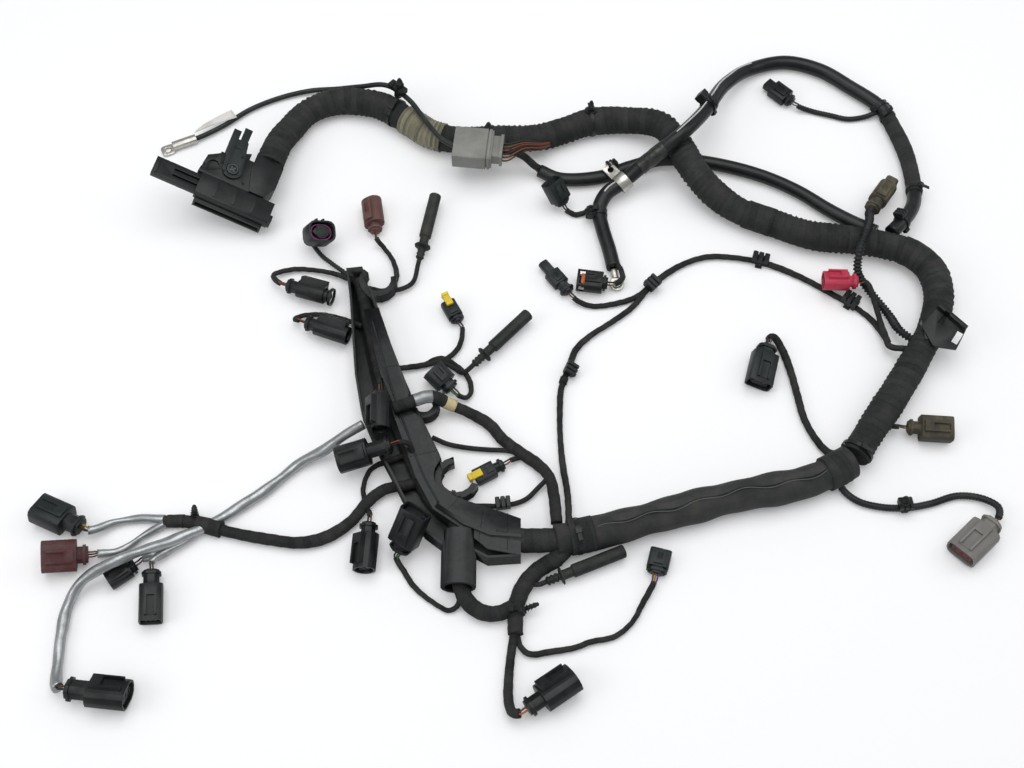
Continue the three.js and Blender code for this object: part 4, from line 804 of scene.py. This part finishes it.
# Mouths: a seal round the core, and the terminals' slots in its face, drawn as near-black bars that are painted shade
# of the cavities
mouths = {
    "magenta_seal_plug": {"seal": "magenta", "pins": (2, 2), "slotShadeFinish": "slotShade"},
    "brown_plug": {"seal": "orangeBrown", "pins": (3, 1), "slotShadeFinish": "slotShade"},
    "injector_plug_1": {"seal": "black", "pins": (2, 1), "slotShadeFinish": "slotShade"},
    "injector_plug_2": {"seal": "purple", "pins": (2, 1), "slotShadeFinish": "slotShade"},
    "injector_plug_3": {"seal": "black", "pins": (2, 1), "slotShadeFinish": "slotShade"},
    "injector_plug_4": {"seal": "black", "pins": (2, 1), "slotShadeFinish": "slotShade"},
    "yellow_tab_plug_1": {"seal": "grey", "pins": (2, 1), "slotShadeFinish": "slotShade"},
    "round_lock_plug": {"seal": "black", "pins": (3, 1), "slotShadeFinish": "slotShade"},
    "yellow_tab_plug_2": {"seal": "grey", "pins": (2, 1), "slotShadeFinish": "slotShade"},
    "barrel_plug": {"seal": "black", "pins": (3, 1), "slotShadeFinish": "slotShade"},
    "blue_line_plug": {"seal": "blue", "pins": (4, 1), "slotShadeFinish": "slotShade"},
    "small_purple_plug": {"seal": "purple", "pins": (3, 1), "slotShadeFinish": "slotShade"},
    "lower_barrel_plug": {"seal": "orangeBrown", "pins": (3, 2), "slotShadeFinish": "slotShade"},
    "printed_side_plug": {"seal": "black", "pins": (4, 1), "slotShadeFinish": "slotShade"},
    "red_core_plug": {"seal": "red", "pins": (3, 1), "slotShadeFinish": "slotShade", "core": "red"},
    "hidden_latch_plug": {"seal": "black", "pins": (2, 1), "slotShadeFinish": "slotShade"},
    "slotted_latch_plug": {"seal": "black", "pins": (3, 1), "slotShadeFinish": "slotShade"},
    "corner_plug": {"seal": "gold", "pins": (3, 1), "slotShadeFinish": "slotShade"},
    "upright_plug": {"seal": "black", "pins": (3, 1), "slotShadeFinish": "slotShade"},
    "window_plug": {"seal": "orange", "pins": (2, 1), "slotShadeFinish": "slotShade"},
    "red_plug": {"seal": "black", "pins": (2, 1), "slotShadeFinish": "slotShade", "core": "black"},
    "leaning_plug": {"seal": "black", "pins": (4, 1), "slotShadeFinish": "slotShade"},
    "right_edge_plug": {"seal": "black", "pins": (3, 1), "slotShadeFinish": "slotShade"},
    "light_grey_plug": {"seal": "darkRed", "pins": (3, 1), "slotShadeFinish": "slotShade", "core": "darkRed"},
}
shellWall, moat, recess = 1.6, 2.4, 2.0
for plug, mouth in mouths.items():
    length, width, height, radius = plugForms[plug]["body"]
    end = plugForms[plug]["neck"][0] + length
    coreWidth, coreHeight = width - 2 * (shellWall + moat), height - 2 * (shellWall + moat)
    coreRadius = min(coreHeight / 2, radius)
    depth = min(12.0, length * 0.6)
    plugRing(plug + "_seal", plug, roundedLoop(coreWidth + 2.2, coreHeight + 2.2, coreRadius + 1),
             roundedLoop(coreWidth + 0.3, coreHeight + 0.3, coreRadius), end - depth + 1, end - 4.5, mouth["seal"])
    if "core" in mouth:
        plugBar(plug + "_core", plug, roundedLoop(coreWidth - 0.6, coreHeight - 0.6, coreRadius), end - 4,
                end - recess + 0.35, mouth["core"])
    # the terminal slots are near-black bars: painted shade of the cavities
    across, rows = mouth["pins"]
    pitchY, pitchZ = (coreWidth - 1) / across, (coreHeight - 0.6) / rows
    for i in range(across):
        for j in range(rows):
            centre = ((i - (across - 1) / 2) * pitchY, (j - (rows - 1) / 2) * pitchZ)
            slot = roundedLoop(min(2.2, pitchY * 0.6), min(3.4, pitchZ * 0.65), 0.7, 3)
            plugBar(f"{plug}_slot_{i + 1}_{j + 1}", plug, slot, end - 4, end - recess + 0.5, mouth["slotShadeFinish"], centre)
print("mouths made")


# Cable ties: a flat strap round a cord and a small ridged head
def cableTie(name, cord, distance, diameter, turn=90, width=3.6, finish="black_plastic", tail=7.0):
    line = cordLines[cord]
    walked, i = 0.0, 0
    while walked < distance and i < len(line) - 2:
        walked += (line[i + 1] - line[i]).length
        i += 1
    centre = line[i]
    ahead = (line[min(i + 2, len(line) - 1)] - line[max(i - 2, 0)]).normalized()
    side = ahead.cross(Vector((0, 0, 1))).normalized()
    up = side.cross(ahead)
    frameOf = lambda x, y, z: centre + ahead * (x / 1000) + side * (y / 1000) + up * (z / 1000)
    radius, thickness, parts = diameter / 2 + 0.15, 1.1, 28
    points, faces = [], []
    for k in range(parts):
        a = 2 * math.pi * k / parts
        for x, r in ((-width / 2, radius), (width / 2, radius), (width / 2, radius + thickness),
                     (-width / 2, radius + thickness)):
            points.append(frameOf(x, r * math.cos(a), r * math.sin(a)))
    for k in range(parts):
        n = (k + 1) % parts
        faces += [(k * 4 + j, k * 4 + (j + 1) % 4, n * 4 + (j + 1) % 4, n * 4 + j) for j in range(4)]
    a = math.radians(turn)
    out, flat = (math.cos(a), math.sin(a)), (-math.sin(a), math.cos(a))
    base = len(points)
    for x in (-width / 2 - 0.9, width / 2 + 0.9):
        for f, r in ((-2.6, radius + 0.4), (2.6, radius + 0.4), (2.2, radius + 4.2), (-2.2, radius + 4.2)):
            points.append(frameOf(x, out[0] * r + flat[0] * f, out[1] * r + flat[1] * f))
    faces += [(base, base + 1, base + 2, base + 3), (base + 7, base + 6, base + 5, base + 4)]
    faces += [(base + j, base + 4 + j, base + 4 + (j + 1) % 4, base + (j + 1) % 4) for j in range(4)]
    if tail:
        base = len(points)
        for x in (-width / 2, width / 2):
            for f, r in ((2.4, radius + 2.2), (2.4 + tail, radius + 3.4), (2.4 + tail, radius + 4.4),
                         (2.4, radius + 3.3)):
                points.append(frameOf(x, out[0] * r + flat[0] * f, out[1] * r + flat[1] * f))
        faces += [(base, base + 1, base + 2, base + 3), (base + 7, base + 6, base + 5, base + 4)]
        faces += [(base + j, base + 4 + j, base + 4 + (j + 1) % 4, base + (j + 1) % 4) for j in range(4)]
    return fromFaces(name, points, faces, finish)


# Clips: a grooved block on a strap, and a push-in stem with fins
def cordFrame(cord, point):
    line = cordLines[cord]
    distance, walked, i = nearestDistance(cord, point), 0.0, 0
    while walked < distance and i < len(line) - 2:
        walked += (line[i + 1] - line[i]).length
        i += 1
    ahead = (line[min(i + 2, len(line) - 1)] - line[max(i - 2, 0)]).normalized()
    side = ahead.cross(Vector((0, 0, 1))).normalized()
    return line[i], ahead, side, side.cross(ahead)


def blockFaces(points, faces, place, low, high):
    base = len(points)
    chamfer = min(0.6, *((h - l) * 0.25 for l, h in zip(low, high)))
    for x, inset in ((low[0], chamfer), (low[0] + chamfer, 0), (high[0] - chamfer, 0), (high[0], chamfer)):
        y0, y1, z0, z1 = low[1] + inset, high[1] - inset, low[2] + inset, high[2] - inset
        for y, z in ((y0 + chamfer, z0), (y1 - chamfer, z0), (y1, z0 + chamfer), (y1, z1 - chamfer),
                     (y1 - chamfer, z1), (y0 + chamfer, z1), (y0, z1 - chamfer), (y0, z0 + chamfer)):
            points.append(place(x, y, z))
    for i in range(3):
        faces += [tuple(base + n for n in (i * 8 + k, i * 8 + (k + 1) % 8, i * 8 + 8 + (k + 1) % 8, i * 8 + 8 + k))
                  for k in range(8)]
    faces += [tuple(base + k for k in range(7, -1, -1)), tuple(base + 24 + k for k in range(8))]


def saddleClip(name, cord, point, diameter, length, width, height, turn, finish="black_plastic"):
    centre, ahead, side, up = cordFrame(cord, point)
    a = math.radians(turn)
    out, across = side * math.cos(a) + up * math.sin(a), up * math.cos(a) - side * math.sin(a)
    place = lambda x, y, z: centre + (ahead * x + across * y + out * z) / 1000
    points, faces = [], []
    low = diameter / 2 - 0.4
    blockFaces(points, faces, place, (-length / 2, -width / 2, low), (length / 2, width / 2, low + height * 0.45))
    for x in (-length / 2, -length * 0.14, length * 0.2):
        blockFaces(points, faces, place, (x, -width / 2 - 0.6, low + height * 0.3),
                   (x + length * 0.3, width / 2 + 0.6, low + height))
    blockFaces(points, faces, place, (-length * 0.4, -width * 0.28, low + height * 0.3),
               (length * 0.4, width * 0.28, low + height * 0.8))
    fromFaces(name, points, faces, finish)
    cableTie(name + "Strap", cord, nearestDistance(cord, point), diameter, turn + 160, min(5.0, length * 0.4),
             finish, 0)


def pushStem(name, base, direction, length, pad, finish="black_plastic", sides=14):
    axis = Vector(direction).normalized()
    u = axis.orthogonal().normalized()
    v = axis.cross(u)
    profile = [(0.0, pad * 0.7), (0.6, pad), (1.8, pad), (2.4, 2.0)]
    for k in range(3):
        start = 3.2 + k * (length - 5) / 3
        profile += [(start, 2.0), (start + 0.4, 3.9 - 0.5 * k), (start + 1.6, 2.2)]
    profile += [(length - 0.6, 1.6), (length, 0.8)]
    points, faces = [], []
    for x, r in profile:
        for k in range(sides):
            t = 2 * math.pi * k / sides
            points.append(row(base) + (axis * x + (u * math.cos(t) + v * math.sin(t)) * r) / 1000)
    for i in range(len(profile) - 1):
        faces += [(i * sides + k, i * sides + (k + 1) % sides, (i + 1) * sides + (k + 1) % sides, (i + 1) * sides + k)
                  for k in range(sides)]
    faces += [tuple(range(sides - 1, -1, -1)), tuple(len(points) - sides + k for k in range(sides))]
    fromFaces(name, points, faces, finish)


# A narrow raised line along a cord
def lineAlong(name, cord, first, last, diameter, turn, width, finish, wave=0.0, rise=0.35):
    line = cordLines[cord]
    start, end = sorted((nearestDistance(cord, first), nearestDistance(cord, last)))
    part = evenly(cutLine(line, start, end), 0.003)
    points, faces = [], []
    for i, centre in enumerate(part):
        ahead = (part[min(i + 1, len(part) - 1)] - part[max(i - 1, 0)]).normalized()
        side = ahead.cross(Vector((0, 0, 1))).normalized()
        up = side.cross(ahead)
        a = math.radians(turn + wave * math.sin(i * 0.42) + wave * 0.6 * math.sin(i * 0.17))
        half = width / diameter
        for t, r in ((a - half, -0.5), (a + half, -0.5), (a + half * 0.7, rise), (a - half * 0.7, rise)):
            points.append(centre + (side * math.cos(t) + up * math.sin(t)) * (diameter / 2 + r) / 1000)
    for i in range(len(part) - 1):
        faces += [(i * 4 + k, i * 4 + (k + 1) % 4, i * 4 + 4 + (k + 1) % 4, i * 4 + 4 + k) for k in range(4)]
    faces += [(3, 2, 1, 0), tuple(len(points) - 4 + k for k in range(4))]
    fromFaces(name, points, faces, finish, smooth=False)


def nearestDistance(cord, point):
    goal, best, walked, found = row(point), 9.0, 0.0, 0.0
    line = cordLines[cord]
    for a, b in zip(line, line[1:]):
        gap = (a - goal).length
        if gap < best:
            best, found = gap, walked
        walked += (b - a).length
    return found


ties = [
    ("tieUpperA", "upperTrunk", (-126, 318, 14), 29.0, 70), ("tieUpperB", "upperTrunk", (84, 307, 14), 29.0, 100),
    ("tieHoseA", "hoseLower", (106, 247, 8), 14.2, 80), ("tieHoseB", "hoseLoop", (205, 305, 44), 15.2, 60),
    ("tieHoseC", "hoseLoop", (91, 196, 9), 15.2, 110), ("tieHoseD", "hoseLoop", (404, 318, 8), 15.2, 60),
    ("tieHoseE", "hoseLoop", (419, 222, 9), 15.2, 120), ("tieRed", "longBranch", (343, 85, 3.2), 6.2, 60),
    ("tieSeam", "upperTrunk", (324, -80, 17), 29.0, 100),
    ("tieDrop", "dropLoom", (4, -232, 8), 15.2, 70), ("tieLower", "lowerTrunk", (60, -163, 16), 32.4, 95),
    ("tieGrey", "leadLightGrey", (364, -131, 4), 7.2, 60),
]
for name, cord, place, diameter, turn in ties:
    if cord in cordLines:
        cableTie(name, cord, nearestDistance(cord, place), diameter, turn)


clips = [
    ("clipLongA", "longBranch", (56.5, 13, 4), 6.0, 13, 11, 7.5, 120),
    ("clipLongB", "longBranch", (139, 109, 4), 6.0, 14, 12, 9, 100),
    ("clipLongC", "longBranch", (252, 136, 3.2), 6.0, 17, 9, 8, 80),
    ("clipTray", "clipLead", (-8, -129, 4), 5.0, 14, 10, 9, 90),
    ("clipHoseA", "hoseLower", (106, 247, 8), 14.0, 11, 9, 8, 115),
    ("clipHoseB", "hoseLoop", (208, 309, 43), 15.0, 12, 10, 9, 150),
    ("clipHoseC", "hoseLoop", (91, 192, 9), 15.0, 12, 9, 7, 150),
    ("clipHoseD", "hoseLoop", (398, 332, 8), 15.0, 13, 11, 6, 215),
    ("clipHoseE", "hoseLoop", (396, 174, 23), 15.0, 10, 10, 7, 60),
    ("clipEarth", "earthCable", (-121, 333, 33), 5.6, 22, 8, 6, 90),
    ("clipGrey", "leadLightGrey", (364, -131, 4), 7.0, 13, 11, 7, 100),
    ("clipRed", "longBranch", (336, 89, 3.2), 6.0, 16, 12, 9, 80),
]
for name, cord, place, diameter, length, width, height, turn in clips:
    saddleClip(name, cord, place, diameter, length, width, height, turn)
stems = [
    ("stemTrunk", (84, 312, 26.5), (0, 0.3, 0.95), 13, 7.0),
    ("stemPeg", (-25, 288, 27), (0.05, 0.2, 0.97), 9, 3.4),
    ("stemEarth", (-119, 334, 41), (0, 0.2, 0.98), 10, 4.6),
    ("stemDrop", (10, -230, 9), (0.93, 0.32, 0.16), 15, 4.4),
    ("stemLeft", (-292, -141, 9), (0, 0.75, 0.66), 11, 4.0),
    ("stemGrey", (362, -129, 13), (0, 0.2, 0.98), 9, 5.0),
]
for name, base, direction, length, pad in stems:
    pushStem(name, base, direction, length, pad)
lineAlong("hoseStripe", "hoseLoop", (262, 383, 10), (172, 259, 52), 15.2, 108, 1.9, "stripe", 2.0)
lineAlong("hoseStripeLow", "hoseLoop", (115, 226, 18.5), (97, 213, 13), 15.2, 95, 1.9, "stripe", 2.0)
lineAlong("trunkSeam", "lowerTrunk", (76, -159, 16), (288, -104, 17), 31.6, 96, 0.7, "stitch", 6.0, 0.8)
lineAlong("wovenFold", "lowerTrunk", (76, -159, 16), (288, -104, 17), 30.6, 78, 9.0, "woven", 5.0, 1.2)
print("clips made")


# Marks on the control unit plug: small square recesses and a groove line, drawn as near-black patches of painted
# shade, and the rim and cross of the lever's hub
control = {"at": (-291.7, 181.7, 19.8), "u": Vector((0.893162, -0.22269, -0.390731)),
           "w": Vector((0.379125, -0.094526, 0.920505)), "hub": (-13, 41, 23.7),
           "rim": 5.2, "rimThick": 0.0013, "sunk": 0.4, "proud": 0.22}
controlMarks = [
    (-24.6, 44.8, 20.5, 2.6, 2.6, 8, "jointAndRecessShade", "harness"), (-20.3, 35.3, 23.2, 2.2, 2.6, 8, "jointAndRecessShade", "lever"),
    (-17.1, 24.5, 20.5, 2.6, 3.0, 8, "jointAndRecessShade", "harness"), (-8.5, 58.6, 23.2, 2.2, 2.8, 8, "jointAndRecessShade", "lever"),
    (2.0, 31.4, 20.5, 2.2, 2.6, 8, "jointAndRecessShade", "harness"), (-28.5, 56.0, 20.5, 3.2, 1.4, 8, "jointAndRecessShade", "harness"),
    (-16.5, 66.0, 23.2, 8.0, 0.9, 0, "jointAndRecessShade", "lever"), (-13, 41, 23.7, 7.0, 1.6, 40, "rubbed", "harness"),
    (-13, 41, 23.7, 1.6, 7.0, 40, "rubbed", "harness"),
]


def onControl(x, y, z):
    u, w = control["u"], control["w"]
    return row(control["at"]) + (u * x + w.cross(u) * y + w * z) / 1000


for k, (x, y, z, width, depth, turn, finish, body) in enumerate(controlMarks):
    c, d = math.cos(math.radians(turn)), math.sin(math.radians(turn))
    place = lambda a, b, h: onControl(x + a * c - b * d, y + a * d + b * c, z + h)
    points, faces = [], []
    blockFaces(points, faces, place, (-width / 2, -depth / 2, -control["sunk"]),
               (width / 2, depth / 2, control["proud"]))
    fromFaces(f"controlMark_{k + 1}", points, faces, finish, body)
hubX, hubY, hubZ = control["hub"]
rimTurns = [2 * math.pi * k / 24 for k in range(25)]
hubRim = [onControl(hubX + control["rim"] * math.cos(t), hubY + control["rim"] * math.sin(t), hubZ) for t in rimTurns]
sweepTube("hubRim", hubRim, control["rimThick"], "rubbed", 8)
print("control unit plug marked")


# Wires bare behind the grey in-line connector, into the trunk and into the lower hose
inlineWires = {"mouth": (-9.5, 252.6, 37), "trunk": (30, 270, 23), "hose": (31, 247.5, 9), "thick": 0.0018}
for k in range(11):
    spread, level = (k % 6 - 2.5) * 4.0, 3.2 if k > 5 else -3.2
    x, y, z = inlineWires["mouth"]
    x2, y2, z2 = inlineWires["trunk"]
    path = softPath([row((x - 4, y + spread, z + level)), row((x + 6, y + spread, z + level)),
                     row((x + 22, y + 9 + spread * 0.6, z - 3 + level * 0.7)),
                     row((x2, y2 + spread * 0.45, z2 + level * 0.5)),
                     row((x2 + 10, y2 + 6 + spread * 0.3, z2 - 4))], 8)
    shade = ("brown", "black", "redBrown", "brown", "black", "green")[k % 6]
    sweepTube(f"inlineWire_{k + 1}", path, inlineWires["thick"], shade, 8)
for k in range(4):
    x, y, z = inlineWires["hose"]
    path = softPath([row((x - 26, y + 7 + k * 2.2, z + 19)), row((x - 14, y + 4 + k * 1.8, z + 10)),
                     row((x - 4, y + (k - 1.5) * 1.8, z + 2)), row((x + 6, y - 2 + (k - 1.5) * 1.4, z - 1))], 8)
    shade = ("brown", "redBrown", "black", "yellowBrown")[k]
    sweepTube(f"hoseWire_{k + 1}", path, inlineWires["thick"], shade, 8)


# Raised line and panel joints on the tray's lid
lid = {"top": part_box("tray_lid")[1][2] * 1000 - 3.0, "line": 2.2, "joint": 0.8}  # millimetres
lidLine = smoothLine([(-137, 58, lid["top"]), (-127, 25, lid["top"]), (-113, -22, lid["top"]), (-97, -66, lid["top"]),
                      (-82, -106, lid["top"]), (-67, -134, lid["top"])], 0.004)
sweepTube("lidLine", lidLine, lid["line"] / 1000, "grey_black_plastic", 10)
joints = [((-130, 4), (-110, 8)), ((-110, -48), (-88, -42)), ((-95, -88), (-70, -82)), ((-63, -146), (-48, -128)),
          ((-30, -170), (-26, -139)), ((-4, -180), (-4, -144))]
for k, (a, b) in enumerate(joints):
    start, end = row((*a, lid["top"] + 0.02)), row((*b, lid["top"] + 0.02))
    sweepTube(f"lidJoint_{k + 1}", evenly([start, end], 0.006), lid["joint"] / 1000, "jointAndRecessShade", 6)
print("tray dressed")


# Bands of tape over a stretch of a cord
def tapeBand(name, cord, first, last, diameter, finish, pitch=0.012, grow=0.0006):
    line = cordLines[cord]
    start, end = sorted((nearestDistance(cord, first), nearestDistance(cord, last)))
    part = evenly(cutLine(line, start, end), 0.0012)
    return sweepTube(name, part, diameter / 1000 + grow, finish, 28, turns(len(name), pitch, 0.00035, 0.0003))


bands = [
    ("bandLeftA", "leftLoom", (-266, -153, 6), (-290, -147, 6), 14.4, "branchTape"),
    ("bandLeftB", "leftLoom", (-301, -145, 6), (-319, -145, 6), 11.4, "branchTape"),
    ("bandMidSilver", "midBranch", (-92, -33, 30.6), (-77, -27, 27), 11.2, "silver"),
    ("bandMidBlack", "midBranch", (-76, -27, 27), (-65, -28, 19), 11.4, "tape"),
    ("bandMidCream", "midBranch", (-64, -28, 18), (-54, -31, 12), 11.6, "cream"),
    ("bandFoil", "hoseLoop", (133, 238, 28), (158, 251, 45), 15.4, "foil"),
    ("bandHoseTape", "hoseLoop", (404, 318, 8), (419, 215, 10), 15.4, "tape"),
    ("bandLongTape", "longBranch", (56, 4, 4), (50, -3, 4), 7.4, "branchTape"),
    ("bandTrunkA", "upperTrunk", (-60, 283, 14), (-20, 284, 14), 28.4, "tape"),
    ("bandTrunkB", "upperTrunk", (240, 190, 15), (268, 178, 14.4), 28.6, "tape"),
    ("bandTrunkC", "upperTrunk", (395, 145, 17), (424, 110, 17), 28.6, "tape"),
    ("bandLowerA", "lowerTrunk", (309, -95, 17), (290, -103, 17), 32.4, "tape"),
    ("bandLowerB", "lowerTrunk", (74, -160, 16), (52, -165, 16), 32.4, "tape"),
]
for name, cord, first, last, diameter, finish in bands:
    tapeBand(name, cord, first, last, diameter, finish)
print("ties and bands made")


# Bare paper flag on the earth cable
def makeFlag():
    corners = [(-340, 297, 8.5), (-331, 308, 9.5), (-303, 328, 8.0), (-296, 318, 7.5)]
    a, b, c, d = [row(p) for p in corners]
    points, faces, across, down = [], [], 10, 4
    for i in range(across + 1):
        for j in range(down + 1):
            u, v = i / across, j / down
            p = (a * (1 - u) + d * u) * (1 - v) + (b * (1 - u) + c * u) * v
            points.append(p + Vector((0, 0, 0.0012 * math.sin(3.1 * u) + 0.0008 * math.sin(5 * v + 2 * u))))
    for i in range(across):
        for j in range(down):
            k = i * (down + 1) + j
            faces.append((k, k + 1, k + down + 2, k + down + 1))
    flag = fromFaces("bareFlag", points, faces, "label", smooth=True)
    thick = flag.modifiers.new("thick", "SOLIDIFY")
    thick.thickness = 0.0004


makeFlag()


# Bench top, light and air
studio = {
    "half": 4.0, "drop": 0.0004, "bench": (0.86, 0.86, 0.865, 1), "glow": 0.14, "aim": (0.118, 0.02, 0.0),
    "air": (0.9, 0.92, 0.95, 1), "airStrength": 0.42,
}
lamps = [
    ("overhead", (0.1, 0.3, 2.3), 2.2, 34.0), ("left", (-1.7, -0.6, 1.5), 1.2, 9.0),
    ("right", (2.0, 0.4, 1.6), 1.2, 6.0),
]


def makeStudio():
    mesh = bpy.data.meshes.new("benchTop")
    half, level = studio["half"], -studio["drop"]
    corners = [(-half, -half, level), (half, -half, level), (half, half, level), (-half, half, level)]
    mesh.from_pydata(corners, [], [(0, 1, 2, 3)])
    bench = bpy.data.objects.new("benchTop", mesh)
    bpy.context.scene.collection.objects.link(bench)
    material = bpy.data.materials.new("whiteBench")
    material.use_nodes = True
    nodes, links = material.node_tree.nodes, material.node_tree.links
    shader = nodes["Principled BSDF"]
    shader.inputs["Base Color"].default_value = studio["bench"]
    shader.inputs["Roughness"].default_value = 0.9
    paths = nodes.new("ShaderNodeLightPath")
    glow = nodes.new("ShaderNodeMath")
    glow.operation = "MULTIPLY"
    links.new(paths.outputs["Is Camera Ray"], glow.inputs[0])
    glow.inputs[1].default_value = studio["glow"]
    shader.inputs["Emission Color"].default_value = (1, 1, 1, 1)
    links.new(glow.outputs[0], shader.inputs["Emission Strength"])
    mesh.materials.append(material)
    for name, place, size, power in lamps:
        data = bpy.data.lights.new(name, "AREA")
        data.size = size
        data.energy = power
        lamp = bpy.data.objects.new(name, data)
        bpy.context.scene.collection.objects.link(lamp)
        lamp.location = place
        lamp.rotation_euler = (Vector(studio["aim"]) - Vector(place)).to_track_quat("-Z", "Y").to_euler()
    world = bpy.data.worlds.new("air")
    bpy.context.scene.world = world
    world.use_nodes = True
    background = world.node_tree.nodes["Background"]
    background.inputs["Color"].default_value = studio["air"]
    background.inputs["Strength"].default_value = studio["airStrength"]
    bpy.context.scene.view_settings.view_transform = "Standard"


makeStudio()
print("scene ready")
